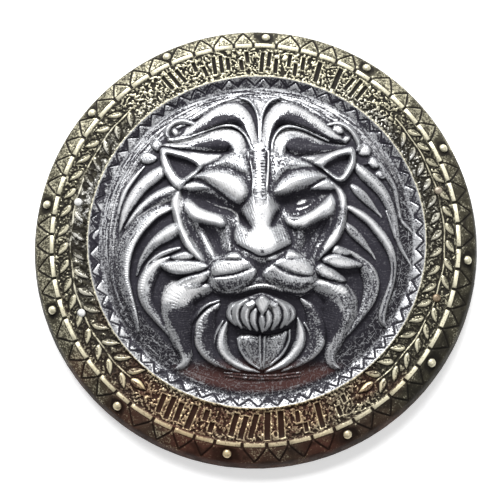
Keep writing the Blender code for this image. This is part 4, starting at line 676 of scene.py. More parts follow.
    # a thinner layer of painted shade over all but the rubbed places, thicker to the right and low down
    painted_shade = 0.34 * sstep(48, 112, x) * (1 - 0.6 * sstep(56, 104, y)) + 0.30 * sstep(44, 112, -x) * (1 - sstep(30, 80, y)) + 0.20 * sstep(58, 116, -y)
    painted_shade += 0.22 * np.exp(-(((x - 62) / 26) ** 2 + ((y + 4) / 30) ** 2)) + 0.18 * np.exp(-(((x + 52) / 26) ** 2 + ((y + 4) / 30) ** 2))
    c.wash_and_shade_map = np.maximum(c.wash_and_shade_map, np.clip(painted_shade, 0, 0.7) * (1 - c.rub_and_highlight_map))
    c.wash_and_shade([(-36, -142, 3), (-5, -145, 5), (20, -145, 5), (48, -142, 3)], .72, 2)
    # ears
    c.wash_and_shade_in([(-94, 87.5), (-82, 85.5), (-70, 81.5), (-61.5, 76), (-62, 71.5), (-68, 66.5), (-76, 61.5), (-81, 64), (-88, 73)], .93, 2)
    c.rub_and_highlight([(-84, 68, 1), (-78, 67, 1.8), (-70, 70, .8)], .25, 1.6)
    c.wash_and_shade_in([(97, 86.5), (88, 85.5), (77, 80), (70, 73.5), (76, 68), (84, 63), (90, 64.5), (95, 73), (98, 80)], .93, 2)
    c.rub_and_highlight([(96, 83, .8), (94, 76, 2), (88, 68, 2.2), (82, 66, .8)], .34, 2)
    c.teeth([(94, 82, 2.6), (92, 74, 3), (86, 67, 2.4)], 2.0, .6, .3, lean=2)
    c.rub_and_highlight([(-97.5, 91, .7), (-97, 80, 1.4), (-92, 68, 1.5), (-85, 57, 1.3), (-79, 51.5, .8)], .9, .8)
    c.rub_and_highlight([(-97, 92.5, .8), (-86, 91, 1.2), (-72, 88.5, 1.4), (-62, 84, 1.2)], .8, .8)
    c.rub_and_highlight([(62, 79.5, .8), (72, 84.5, 1), (84, 90, 1.4), (95, 92, 1.5)], .6, .9)
    c.rub_and_highlight([(99.5, 78, 1.2), (96, 70, 1.8), (90, 61.5, 1.4), (87, 59.5, .8)], .85, .8)
    c.rub_and_highlight([(102, 90, .5), (102.5, 80, .8), (100.5, 71, .5)], .5, .6)
    # small curls round the mane
    for pts in ([(-88, 112.5), (-86, 115), (-82, 112), (-85, 109)], [(82, 114), (84, 117.5), (89, 116), (90, 112), (86, 110.5)], [(92, 103.4), (94.5, 105.6), (98, 104.6), (95.6, 102)], [(109, 88), (112, 96), (118, 92.5), (117, 87)], [(119, 77), (122, 81.5), (126, 78), (126, 74)], [(124, 65), (129, 68), (132, 63)]):
        c.rub_and_highlight_in(pts, .7, 1.2)
    c.rub_and_highlight([(-72, 123, .8), (-80, 124, 1.4), (-88, 121, 1.4), (-93, 114, 1)], .5, 1)
    c.rub_and_highlight([(86, 120, 1), (96, 115.5, 1.4), (103, 107, 1.4), (106, 98, 1)], .45, 1)
    c.wash_and_shade([(-80, 118, 1), (-76, 114, 1.8), (-82, 108, 1.4), (-92, 106, 1), (-96, 110, .8)], .9, .8)
    c.wash_and_shade([(93, 112, 1), (98, 110, 1.6), (102, 102, 1.6), (104, 94, 2), (101, 96, 1)], .9, .8)
    c.wash_and_shade([(-110, 92, 1), (-104, 89, 2.2), (-100, 88, 1)], .85, 1)
    c.wash_and_shade([(-122, 78, .6), (-112, 76.5, 1.8), (-103, 80, 1.2)], .85, 1)
    c.wash_and_shade([(106, 84, 1), (112, 80.5, 2.4), (117, 74, 2.4), (121, 69, 1.4)], .85, 1)


def fine_marks(c):
    """Pitting and fine brush marks all over the lion."""
    x, y = c.x, c.y
    # pitting and brush marks all over the lion
    pits = noise(x / 1.1, y / 1.1, 51) * noise(x / 2.6, y / 2.6, 52)
    c.A -= 0.30 * sstep(0.50, 0.75, pits)
    c.A += 0.22 * (noise(x / 1.7, y / 1.7, 53) - 0.5)


def open_ground(c):
    """The open ground round the mane: brushed above, scribbled below."""
    x, y = c.x - 2, c.y - 1
    r, a = np.hypot(x, y), np.degrees(np.arctan2(x, y))
    bare = sstep(140, 149, r) * (1 - sstep(0.6, 1.6, c.F))
    low = np.where(a > 0, sstep(34, 78, a), sstep(84, 122, -a))
    return bare * (1 - low), bare * low


def reddish_low(c):
    """How far the wash turns reddish brown: the foot of the field and the tips of the lowest locks."""
    x, y = c.x - 6, c.y
    edge = 1 - sstep(157.5, 161.5, np.hypot(c.x, c.y))
    return (1 - sstep(-138, -122, y + 0.0010 * x * x)) * (1 - sstep(88, 118, np.abs(x))) * edge


def ground(field):
    """The open ground between the mane and the rim: brushed round, with scribbled scratches below."""
    x, y = field.x - 2, field.y - 1
    r, a = np.hypot(x, y), np.degrees(np.arctan2(x, y))
    rough = noise(x / 3.1, y / 3.1, 41) * 0.6 + noise(x / 1.3, y / 1.3, 42) * 0.4
    streaks = noise(a / 16 + 40, r / 1.1, 61)
    worms = 1 - sstep(0.03, 0.10, np.abs(noise(x / 4.4, y / 4.4, 63) - 0.5))
    off = 1 - field.on_lion
    low = sstep(70, 118, np.abs(a))
    field.accent = np.maximum(field.accent, 0.6 * off * (1 - low) * sstep(150, 152, r + 6 * rough) * sstep(0.54, 0.74, streaks))
    field.h += 0.14 * (rough - 0.5) + off * (0.30 * (streaks - 0.5) * (1 - low) + 0.22 * worms * low)


# ---------------------------------------------------------------- the rim: laurel band, triangles, studs
def stations():
    """The turned section from the field's foot to the wall's edge, as rows of radius, height and outward normal."""
    corners = [(FIELD_R, FIELD_Z), (FIELD_R + 1.4, FIELD_Z + 0.35), (LIP_IN - 0.6, LIP_Z - 0.7), (LIP_IN + 0.2, LIP_Z), (LIP_OUT - 0.3, LIP_Z - 0.1), (LIP_OUT + 0.5, BAND_Z + 0.5), (BAND_IN + 0.6, BAND_Z), (BAND_OUT, BAND_Z), (RIDGE_IN - 0.4, RIDGE_Z - 0.4), (RIDGE_IN + 0.4, RIDGE_Z), (RIDGE_OUT - 0.5, RIDGE_Z), (RIDGE_OUT + 0.5, RIDGE_Z - 0.45), (BEVEL_R - 0.8, BEVEL_Z + 0.5), (BEVEL_R + 0.5, BEVEL_Z - 0.6), (BEVEL_R + 1.9, BEVEL_Z - 2.8), (RIM_R - 0.35, 1.6), (RIM_R, 0.0)]
    rows = []
    for (r0, z0), (r1, z1) in zip(corners, corners[1:]):
        step = 0.5 if r1 < BEVEL_R + 1 else (0.9 if r1 < BEVEL_R + 3 else 2.2)
        n = max(1, int(round(math.hypot(r1 - r0, z1 - z0) / step)))
        size = math.hypot(r1 - r0, z1 - z0)
        for k in range(n):
            rows.append((r0 + (r1 - r0) * k / n, z0 + (z1 - z0) * k / n, -(z1 - z0) / size, (r1 - r0) / size))
    rows.append((corners[-1][0], corners[-1][1], 1.0, 0.0))
    rows = np.array(rows)
    # soften the turns between stretches
    for _ in range(2):
        rows[1:-1, 2:] = (rows[:-2, 2:] + 2 * rows[1:-1, 2:] + rows[2:, 2:]) / 4
    rows[:, 2:] /= np.hypot(rows[:, 2], rows[:, 3])[:, None]
    return rows


LEAF_ROWS = (
    # first angle, step, leaves, radius at first and last, direction in degrees from clockwise, length, width
    (56.3, 5.22, 17, 203.4, 200.2, 34, 15.0, 5.8),
    (56.0, 5.60, 16, 187.3, 184.0, -45, 16.5, 5.8),
    (312.0, -5.60, 17, 201.0, 199.6, 146, 15.0, 5.8),
    (314.0, -6.17, 16, 185.2, 184.0, 225, 16.5, 5.8),
)
END_LEAVES = ((144.2, 191.0, -2, 17.0, 6.6), (218.2, 192.6, 182, 17.0, 6.6))

# rows of shallow strokes in place of an inscription: (angle of the group, strokes as x0, r0, x1, r1 in millimetres, width)
STROKES = (
    (333.0, ((-7.5, 203, -5, 185), (0.5, 204, 3, 184), (8.5, 203, 11, 186)), 4.2),
    (342.2, ((-4, 204, -4, 193), (4.5, 196, 4.5, 184)), 4.2),
    (349.2, ((-6, 204, -9, 184), (1.5, 204, -1.5, 184), (8.5, 200, 6, 186)), 4.2),
    (356.4, ((-3, 196, -3, 184), (4.5, 205, 4.5, 192)), 4.2),
    (4.2, ((-8, 181, -5.5, 204), (-0.5, 188, 2, 205), (7, 181, 9, 198)), 4.2),
    (13.0, ((-7.5, 205, -7.5, 190), (0, 196, 0, 181), (7.5, 205, 7.5, 190)), 4.2),
    (20.3, ((0, 181, 0, 205),), 5.2),
    (26.8, ((0, 181, 0, 207),), 5.4),
    (34.0, ((-9, 204, -11.5, 186), (-1, 206, -3.5, 182), (7, 204, 4.5, 184)), 4.2),
    (153.0, ((-4, 184, -4, 192), (4.5, 192, 4.5, 202)), 4.0),
    (160.6, ((-1, 181, -1, 206),), 5.2),
    (166.0, ((-3.5, 196, -3.5, 205), (3.5, 183, 3.5, 194)), 4.0),
    (172.3, ((0, 180, 0, 206),), 6.0),
    (176.4, ((0, 180, 0, 207),), 6.0),
    (184.0, ((-13, 182, -10, 205), (-3, 184, 0, 206), (7, 182, 10, 204)), 5.4),
    (194.0, ((-4, 204, -4, 194), (4.5, 194, 4.5, 184)), 5.2),
    (199.4, ((0, 183, 0, 207),), 6.0),
    (206.5, ((-9, 186, -12, 204), (1, 184, -2, 206), (11, 186, 8, 204)), 5.2),
)
FOOT_MARKS = ((0, 2.5), (7, 43.3), (15, 91.3), (21, 125.7), (30, 173.0), (34, 198.6), (40, 234.0), (44, 258.2), (49, 289.5), (53, 314.5), (57, 338.0), (61, 362.5))


def turn_to(a, b):
    """a - b in degrees, wrapped to -180..180."""
    return (a - b + 180) % 360 - 180


class Ring:
    """Relief over the rim, in a net of angles (degrees clockwise from the top) by radii."""

    def __init__(self, rows):
        self.r = rows[:, 0]
        self.a = np.arange(TURN) * 360 / TURN
        self.wall = int(np.argmax(rows[:, 0] > BEVEL_R + 1.6))
        self.h = np.zeros((TURN, len(self.r)))
        self.smooth = np.zeros_like(self.h)     # where the stippling is taken away
        self.gold_leaf = np.zeros_like(self.h)  # extra bright paint, with painted highlights along the leaves' edges
        self.dark = np.zeros_like(self.h)

    def window(self, a0, half_mm, r0, r1):
        """Indices of the part of the net near an angle, with its coordinates in millimetres from there."""
        half = math.degrees(half_mm / max(r0, 160)) + 0.3
        k0, k1 = int(math.floor((a0 - half) * TURN / 360)), int(math.ceil((a0 + half) * TURN / 360))
        cols = np.arange(k0, k1 + 1) % TURN
        rows = np.flatnonzero((self.r >= r0) & (self.r <= r1) & (np.arange(len(self.r)) < self.wall))
        da = np.radians(turn_to(self.a[cols], a0))[:, None]
        r = self.r[rows][None, :]
        return np.ix_(cols, rows), da * r, np.broadcast_to(r, (len(cols), len(rows)))

    def leaf(self, a0, r0, heading, length, width, stem, height=1.9):
        """A laurel leaf along a heading (0 is clockwise, 90 outward). stem: -1 if its stem lies inward of it, 1 if outward."""
        length, width = length * 1.12, width * 1.20
        at, x, r = self.window(a0, length, r0 - length, r0 + length)
        y = r - r0
        c, s = math.cos(math.radians(heading)), math.sin(math.radians(heading))
        t, w = x * c + y * s, -x * s + y * c
        if math.cos(math.radians(heading)) < 0:
            w = -w
        t = t / length + 0.5
        half = width / 2 * np.clip(1 - np.abs(2 * np.clip(t, 0, 1) ** 0.72 - 1) ** 1.8, 0, 1)
        inside = (t > 0) & (t < 1) & (np.abs(w) < half)
        u = np.where(inside, w / np.maximum(half, 0.01), 1.0)
        body = height * (1 - u**2) ** 0.55 * np.clip(np.minimum(t, 1 - t) * 6, 0, 1) ** 0.5
        slit = 0.7 * bell(u + 0.10 * stem, 0.13) * sstep(0.1, 0.3, t) * (1 - sstep(0.62, 0.85, t))
        z = np.where(inside, body - slit * (body > 0.6), 0)
        moat = 0.55 * np.exp(-((np.clip(np.abs(w) - half, 0, 9) / 0.9) ** 2)) * ((t > -0.02) & (t < 1.02)) * ~inside
        self.h[at] = np.where(inside, np.maximum(self.h[at], z), self.h[at] - moat)
        self.smooth[at] = np.maximum(self.smooth[at], np.where(inside, 1.0, np.exp(-((np.abs(w) - half).clip(0) / 1.2) ** 2) * ((t > -0.05) & (t < 1.05))))
        # a painted highlight along one side of each leaf, a painted shadow over its far half
        edge = inside * sstep(0.05, 0.75, stem * u) * (1 - sstep(0.75, 1.0, t))
        self.gold_leaf[at] = np.maximum(self.gold_leaf[at], np.maximum(0.95 * edge, (0.12 + 0.30 * bell(a0 - 232.0, 13.0) + 0.20 * bell(a0 - 132.0, 12.0)) * inside * (slit < 0.4)))
        shadow = inside * np.maximum(0.62 * sstep(0.0, 0.55, -stem * u), 0.6 * bell(u + 0.10 * stem, 0.14) * (slit > 0.2))
        self.dark[at] = np.maximum(self.dark[at] * ~inside, np.maximum(shadow, 0.8 * (moat > 0.1) * moat / 0.55))

    def stroke(self, a0, x0, r0, x1, r1, width, depth=1.0):
        at, x, r = self.window(a0, 30, min(r0, r1) - 6, max(r0, r1) + 6)
        dx, dy = x1 - x0, r1 - r0
        size = math.hypot(dx, dy)
        along = ((x - x0) * dx + (r - r0) * dy) / size
        across = np.abs((x - x0) * -dy + (r - r0) * dx) / size
        d = np.maximum(across - width / 2, np.maximum(-along, along - size))
        self.h[at] = np.where(d < 0, -depth * sstep(0.05, 0.7, -d), self.h[at])
        self.smooth[at] = np.maximum(self.smooth[at], (d < 0.5) * 1.0)
        self.h[at] += 0.45 * bell(d - 0.7, 0.55) * (d > 0)
        self.gold_leaf[at] = np.maximum(self.gold_leaf[at], 0.35 * bell(d - 0.6, 0.6) * (d > 0))
        self.dark[at] = np.maximum(self.dark[at], sstep(0, 0.6, -d))

    def carve(self):
        r, a = self.r[None, :], self.a[:, None]
        up_to_wall = (np.arange(len(self.r)) < self.wall)[None, :]
        band = sstep(BAND_IN - 2.2, BAND_IN - 1.2, r) * (1 - sstep(BAND_OUT - 0.8, BAND_OUT + 0.8, r))
        # laurel
        for first, step, count, r_first, r_last, heading, length, width in LEAF_ROWS:
            for k in range(count):
                t = k / (count - 1)
                wobble = lattice(np.int64(k), np.int64(int(first)), 5) - 0.5
                angle = first + step * k + wobble * 0.5
                radius = r_first + (r_last - r_first) * sstep(0.3, 1, t)
                place = (radius * math.sin(math.radians(angle)), radius * math.cos(math.radians(angle)))
                near = min(math.hypot(place[0] - q[0], place[1] - q[1]) for n, q in RIVETS.items())
                if near < 7.0:
                    continue
                self.leaf(angle, radius, heading + wobble * 8, length * (1 + 0.1 * wobble), width * (1 - 0.12 * wobble), -1 if radius > 193 else 1)
        for angle, radius, heading, length, width in END_LEAVES:
            self.leaf(angle, radius, heading, length, width, -1, 2.3)
        # stems
        for low, high, line in ((49.0, 141.5, lambda a: 196.8 - 4.0 * sstep(92, 140, a) + 0.5 * np.sin(a / 1.9)), (220.5, 317.0, lambda a: 192.3 + 1.4 * bell(a - 248, 16) + 0.7 * sstep(290, 315, a) + 0.5 * np.sin(a / 2.1))):
            inside = sstep(low - 0.5, low + 1.5, a) * (1 - sstep(high - 1.5, high + 0.5, a))
            off = r - line(a)
            rise = inside * (0.9 * bell(off, 0.65) - 0.5 * bell(off + 1.9, 0.8) - 0.4 * bell(off - 1.9, 0.8))
            self.h += rise * (1 - 0.6 * (self.h > 0.8))
            self.smooth = np.maximum(self.smooth, inside * bell(off, 1.7))
            self.gold_leaf = np.maximum(self.gold_leaf, inside * bell(off - 0.1, 0.55) * sstep(0.25, 0.6, noise(a * 0.9, r * 0, 31)) * 0.9)
        # strokes
        for a0, strokes, width in STROKES:
            for x0, r0, x1, r1 in strokes:
                self.stroke(a0, x0, r0, x1, r1, width)
        # wormy stippled ground
        u, v = a / 360 * 700, r / 1.75
        warp = noise(u * 0.5, v * 0.5, 3, 350)
        n1 = noise(u + 1.1 * warp, v + 1.3 * noise(u * 0.5 + 7, v * 0.5, 4, 350), 1, 700)
        n2 = noise(u * 1.9, v * 1.9, 2, 1330)
        worms = sstep(0.42, 0.60, n1 * 0.76 + n2 * 0.24)
        self.leafy = (sstep(47, 50, a) * (1 - sstep(141, 146, a)) + sstep(216, 221, a) * (1 - sstep(315, 319, a))) * band
        worms = worms * (1 - 0.18 * self.leafy)
        self.worms = worms * band * (1 - np.clip(self.smooth, 0, 1))
        self.h += 0.95 * self.worms - 0.35 * band * (1 - np.clip(self.smooth, 0, 1))
        # the ridge, notched between slots, and the zigzag of the bevel
        cuts = np.array(SLOTS)
        cuts = np.concatenate([[cuts[-1] - 360], cuts, [cuts[0] + 360]])
        slot = np.interp(a, cuts, np.arange(-1, len(SLOTS) + 1))
        number = np.floor(slot).astype(int)
        left, right = cuts[number + 1], cuts[np.minimum(number + 2, len(cuts) - 1)]
        span = np.radians(right - left)
        nearest = np.radians(np.minimum(a - left, right - a))
        number = number % len(SLOTS)
        gap = nearest * r
        ridge = sstep(RIDGE_IN - 1.0, RIDGE_IN + 0.2, r) * (1 - sstep(RIDGE_OUT - 0.2, RIDGE_OUT + 1.6, r))
        jitter = 0.35 * (noise(np.floor(slot + 0.5) * 1.7, r * 0, 9) - 0.5)
        notch = 1 - sstep(1.0 + jitter, 1.9 + jitter, gap)
        self.h -= 1.35 * notch * ridge
        self.ridge = ridge * (1 - notch)
        plain = np.zeros((TURN, 1), bool)
        for angle in STUD_ANGLES:
            k = float(np.interp(angle, cuts, np.arange(-1, len(SLOTS) + 1)))
            if abs(k - round(k)) > 0.25:
                plain |= number == int(math.floor(k)) % len(SLOTS)
        bevel = sstep(RIDGE_OUT - 0.4, RIDGE_OUT + 1.0, r) * (1 - sstep(BEVEL_R - 0.2, BEVEL_R + 1.0, r)) * up_to_wall
        climb = np.clip((r - RIDGE_OUT) / (BEVEL_R - RIDGE_OUT), 0, 1.05)
        half = span / 2 * r
        slope = half / (BEVEL_R - RIDGE_OUT)
        across = np.abs(nearest * r - climb * half) / np.sqrt(1 + slope**2)
        groove = bell(across, 0.8) * bevel * ~plain
        self.h -= 1.0 * groove
        self.h += 0.28 * bell(across - 1.9, 0.5) * bevel * ~plain * (nearest * r > climb * half)
        self.h -= 0.25 * bevel * plain
        self.h -= 0.40 * bell(r - RIDGE_OUT, 0.5) * (1 - notch) * up_to_wall
        self.arris = bell(across - 1.9, 0.6) * bevel * ~plain * (nearest * r > climb * half)
        inside_tri = sstep(0.9, 1.6, (nearest * r - climb * half) / np.sqrt(1 + slope**2)) * bevel * ~plain
        self.tri = inside_tri
        self.groove = np.clip(groove + notch * ridge, 0, 1)
        self.plain = bevel * plain
        bump = bell(gap, 1.1) * bell(r - 216.6, 1.3) * up_to_wall
        self.h += 0.9 * bump
        self.nub = bump
        # studs
        self.stud, self.stud_highlight = np.zeros_like(self.h), np.zeros_like(self.h)
        for angle in STUD_ANGLES:
            at, x, rr = self.window(angle, 9, STUD_AT - 9, STUD_AT + 9)
            d = np.hypot(x, (rr - STUD_AT) * 1.12)
            dome = np.sqrt(np.clip(1 - (d / STUD_R) ** 2, 0, 1)) * 3.7
            collar = 0.5 * bell(d - STUD_R - 0.3, 0.7)
            self.h[at] = np.where(d < STUD_R, np.maximum(dome, self.h[at] * 0.2), self.h[at] - collar)
            self.stud[at] = np.maximum(self.stud[at], 1 - sstep(STUD_R - 0.5, STUD_R + 0.3, d))
            self.groove[at] *= sstep(STUD_R, STUD_R + 1, d)
            s, c = math.sin(math.radians(angle)), math.cos(math.radians(angle))
            # a painted highlight on the upper side of each stud
            self.stud_highlight[at] = np.maximum(self.stud_highlight[at], (d < STUD_R) * bell(np.hypot(s * (rr - STUD_AT) + c * x + 0.6, c * (rr - STUD_AT) - s * x - 1.0), 2.1))
            self.dark[at] = np.maximum(self.dark[at], 0.9 * bell(d - STUD_R - 0.7, 0.9))
        # the inward slope: small triangles, a thin lip above and a bead at the foot
        ks, angles = np.array(FOOT_MARKS).T
        apex = np.interp(np.arange(62), ks, angles)
        k = np.interp(np.where(self.a < apex[0], self.a + 360, self.a), apex, np.arange(62))[:, None]
        foot = np.abs(k - np.round(k))                      # 0 at an apex, 0.5 at the foot between two
        pitch = math.radians(5.9) * r
        fall = np.clip((LIP_IN - 0.8 - r) / (LIP_IN - 0.8 - FIELD_R - 1.6), 0, 1)
        run = pitch / 2 / (LIP_IN - FIELD_R - 2)
        across = np.abs(foot * pitch - fall * pitch / 2) / np.sqrt(1 + run**2)
        on_slope = sstep(FIELD_R + 0.4, FIELD_R + 1.6, r) * (1 - sstep(LIP_IN - 1.4, LIP_IN - 0.4, r))
        self.zig = bell(across, 0.95) * on_slope
        self.chevron = bell(across - 3.0, 0.6) * (foot * pitch > fall * pitch / 2) * on_slope
        self.outer_tri = (foot * pitch > fall * pitch / 2) * on_slope
        self.on_slope = on_slope
        self.h -= 0.85 * self.zig + 0.35 * self.chevron
        self.h += 0.35 * (foot * pitch < fall * pitch / 2 - 1.4) * on_slope
        self.lip = bell(r - LIP_IN - 1.1, 1.25)
        self.band = band
        self.h += 0.25 * (noise(a * 1.3, r / 4, 17) - 0.5) * self.lip
        # hand-made unevenness
        self.h += 0.16 * (noise(a / 360 * 210, r / 6, 11, 210) - 0.5) * up_to_wall
        self.h *= up_to_wall
        self.h[:, 0] = 0
        self.paint()

    def paint(self):
        h, r, a = self.h, self.r[None, :], self.a[:, None]
        near = h - blur(h, 3, True)
        mid = h - blur(h, 8, True)
        high = np.clip(0.5 + 0.55 * near + 0.12 * mid, 0, 1)
        deep = np.clip(-0.75 * near - 0.15 * mid, 0, 1)
        gilt = sstep(LIP_IN, LIP_IN + 0.8, r) * np.ones_like(h)
        down = 0.5 - 0.5 * np.cos(np.radians(a - 6))
        patchy = noise(a / 360 * 40, r / 16, 21, 40)
        blots = noise(a / 360 * 150, r / 5, 23, 150)
        # brown: browner and darker towards the bottom of the rim, a painted shade and reflection
        brown = np.clip(sstep(0.74, 1.04, down + 0.25 * (patchy - 0.5)), 0, 1) * gilt
        side = bell(turn_to(a, 281), 36) + bell(turn_to(a, 62), 30)
        spray = np.clip(side * (1 - sstep(184, 196, r + 8 * (patchy - 0.5))) * sstep(BAND_IN - 2, BAND_IN + 1, r), 0, 1)
        # thicker painted shade down the sides and over the foot of the bevel; the slope and the band get washes that
        # vary round the rim
        turn = (0, 35, 55, 75, 100, 130, 160, 190, 215, 240, 270, 300, 320, 345, 360)
        bevel_shade = np.interp(a, turn, (0, 0.05, 0.34, 0.66, 0.80, 0.80, 0.76, 0.74, 0.66, 0.50, 0.36, 0.28, 0.16, 0, 0)) * sstep(RIDGE_OUT - 0.8, RIDGE_OUT - 0.2, r)
        bevel_shade = np.maximum(bevel_shade, np.interp(a, turn, (0.3, 0.4, 0.7, 0.85, 0.9, 0.9, 0.9, 0.9, 0.85, 0.8, 0.7, 0.6, 0.5, 0.3, 0.3)) * sstep(BEVEL_R + 0.4, BEVEL_R + 2.0, r))
        slope_wash = np.interp(a, turn, (0.50, 0.52, 0.52, 0.38, 0.28, 0.38, 0.44, 0.48, 0.48, 0.52, 0.56, 0.56, 0.50, 0.50, 0.50)) * (1 - sstep(LIP_IN - 1.5, LIP_IN, r)) * sstep(FIELD_R - 2, FIELD_R + 1, r) * (1 + sstep(0.35, 0.8, down) * (0.35 - 0.75 * sstep(FIELD_R + 3, LIP_IN - 3, r)))
        band_wash = (0.40 * self.leafy + np.interp(a, turn, (0, 0.05, 0.1, 0.1, 0.1, 0.24, 0.46, 0.46, 0.32, 0.12, 0.05, 0, 0, 0, 0)) * self.band) * (1 - np.clip(self.gold_leaf * 2, 0, 1))
        # ink: wash in the grooves, notches and zigzag, with the bevel's painted shade added below
        ink_and_shade = self.dark + 0.62 * self.groove + 1.0 * self.zig + 0.5 * self.chevron + 0.12 * self.plain
        ink_and_shade = np.maximum(ink_and_shade, 0.8 * bell(r - RIDGE_IN + 1.6, 0.7) * np.ones_like(h))
        ink_and_shade = np.clip(np.maximum(ink_and_shade, (bevel_shade + slope_wash + band_wash) * (1 + 0.9 * (blots - 0.5))), 0, 1)
        blotchy = sstep(0.40, 0.60, noise(a / 360 * 330, r / 2.4, 27, 330))
        uneven = np.interp(a, turn, (0.35, 0.4, 0.5, 0.45, 0.34, 0.26, 0.20, 0.20, 0.45, 0.78, 0.85, 0.78, 0.5, 0.35, 0.35)) * self.on_slope
        ink_and_shade = np.clip(ink_and_shade + uneven * (1.1 * blotchy - 0.55) + uneven * 0.4 * self.outer_tri, 0, 1)
        splash = bell(turn_to(a, 277), 26) * (1 - sstep(190, 197, r + 6 * (patchy - 0.5))) * sstep(BAND_IN - 1, BAND_IN + 1, r)
        blobs = sstep(0.44, 0.58, noise(a / 360 * 260, r / 3.6, 29, 260))
        ink_and_shade = np.clip(ink_and_shade + 0.75 * splash * (1 - blobs), 0, 1)
        ridge_light = (self.ridge > 0.35) * sstep(RIDGE_IN - 0.3, RIDGE_IN + 0.2, r) * (1 - sstep(RIDGE_OUT - 0.9, RIDGE_OUT - 0.2, r)) * self.ridge
        # a painted highlight along the bevel's outer edge, strongest on the right side
        edge_highlight = np.interp(a, turn, (0, 0, 0.2, 0.5, 0.55, 0.35, 0.2, 0.2, 0.2, 0.1, 0, 0, 0, 0, 0)) * bell(r - BEVEL_R - 0.2, 0.9) * (1 + 0 * h)
        ridge_light = ridge_light * (1 - 0.45 * sstep(0.72, 0.97, down))
        ink_and_shade = ink_and_shade * (1 - np.clip(self.stud + ridge_light, 0, 1))
        # a painted highlight on the triangles' raised edges, strongest on the right side
        arris_highlight = np.interp(a, turn, (0.1, 0.1, 0.3, 0.6, 0.6, 0.5, 0.35, 0.3, 0.3, 0.3, 0.2, 0.15, 0.1, 0.1, 0.1)) * self.arris
        # the bright paint: leaves, ridge tops, lip and splash rubbed bright, with painted highlights on the leaf edges,
        # the arrises, the bevel's edge, the nubs and the upper side of the studs
        accent = np.clip(self.gold_leaf + ridge_light + arris_highlight + 0.8 * self.nub + self.stud * (0.30 + 0.70 * self.stud_highlight) + edge_highlight + 0.6 * splash * blobs + 0.8 * self.lip * (1 + 0 * a) + 0.6 * uneven * (1 - blotchy) * (1 - self.zig), 0, 1)
        self.maps = np.stack([high, deep, gilt, brown, spray, ink_and_shade, accent] + [np.zeros_like(h)] * 5, axis=2)


# ---------------------------------------------------------------- the lion's field as a square net
class Field:
    """Height and paint maps over the field, drawn square-on."""

    def __init__(self):
        self.size = 170.0
        axis = np.arange(-self.size, self.size + 0.01, FINE)
        y, x = np.meshgrid(axis, axis, indexing="ij")
        self.shape = x.shape
        c = Carving(x.ravel(), y.ravel())
        lion(c)
        tones(c)
        fine_marks(c)
        # the field's ink carries its dark wash and its painted shade
        self.ink_and_shade = np.clip(c.wash_and_shade_map, 0, 1).reshape(self.shape)
        self.run = c.S.reshape(self.shape)
        self.cross = c.U.reshape(self.shape)
        above, below = open_ground(c)
        self.streaky, self.scribbled = above.reshape(self.shape), below.reshape(self.shape)
        self.reddish_low = reddish_low(c).reshape(self.shape)
        # accent carries the rubbed paint and the painted highlights
        self.accent = np.clip(c.rub_and_highlight_map, 0, 1).reshape(self.shape)
        self.x, self.y = x, y
        self.cut = c.G.reshape(self.shape)
        self.h = (c.B + c.F - c.G + c.A).reshape(self.shape)
        self.on_lion = sstep(0.8, 2.2, blur(c.F.reshape(self.shape), 1.2) + 0.15 * c.B.reshape(self.shape))
        ground(self)
        # soften the net's own steps
        self.h = self.h * 0.4 + blur(self.h, 1) * 0.6
        # the tallest forms level off below the shell's full height
        self.h = np.where(self.h > LEVEL, LEVEL + SPARE * np.tanh((self.h - LEVEL) / SPARE), self.h)
        self.paint()

    def paint(self):
        h = self.h
        near = h - blur(h, 1.6 / FINE)
        mid = h - blur(h, 4.0 / FINE)
        wide = h - blur(h, 9.0 / FINE)
        self.high = np.clip(0.5 + 0.16 * near + 0.09 * mid + 0.02 * wide, 0, 1)
        self.deep = np.clip(0.75 * self.cut - 0.10 * near, 0, 1)

    def at(self, grid, px, py):
        shape = px.shape
        u, v = (py.ravel() + self.size) / FINE, (px.ravel() + self.size) / FINE
        return sample(grid, u, v).reshape(shape)


# ---------------------------------------------------------------- one closed net over face and back
class Net:
    def __init__(self):
        self.points, self.maps, self.faces, self.count = [], [], [], 0
        self.last = None

    def row(self, xyz, maps):
        """Adds a ring of points and joins it to the one before. Rings have as many points, twice or half as many."""
        n = len(xyz)
        index = self.count + np.arange(n)
        self.points.append(xyz)
        self.maps.append(maps)
        self.count += n
        if self.last is not None:
            a, b = self.last, index
            if len(a) == 1 or len(b) == 1:
                if len(a) == 1:
                    self.faces.append(np.column_stack([np.full(n, a[0]), np.roll(b, -1), b]))
                else:
                    self.faces.append(np.column_stack([a, np.roll(a, -1), np.full(len(a), b[0])]))
            elif len(a) == len(b):
                a1, b1 = np.roll(a, -1), np.roll(b, -1)
                pa, pb = self.points[-2], self.points[-1]
                d1 = ((np.roll(pb, -1, 0) - pa) ** 2).sum(1)
                d2 = ((np.roll(pa, -1, 0) - pb) ** 2).sum(1)
                use = (d1 < d2)[:, None]
                self.faces.append(np.where(use, np.column_stack([a, a1, b1]), np.column_stack([a, a1, b])))
                self.faces.append(np.where(use, np.column_stack([a, b1, b]), np.column_stack([a1, b1, b])))
            elif len(b) == 2 * len(a):
                a1, even, odd = np.roll(a, -1), b[0::2], b[1::2]
                self.faces += [np.column_stack([a, odd, even]), np.column_stack([a, a1, odd]), np.column_stack([a1, np.roll(even, -1), odd])]
            elif len(a) == 2 * len(b):
                b1, even, odd = np.roll(b, -1), a[0::2], a[1::2]
                self.faces += [np.column_stack([even, odd, b]), np.column_stack([odd, b1, b]), np.column_stack([odd, np.roll(even, -1), b1])]
            else:
                raise ValueError("rings of unlike counts")
        self.last = index


MAPS = ("high", "deep", "gilt", "brown", "spray", "ink_and_shade", "accent", "inside", "run", "cross", "streaky", "scribbled")


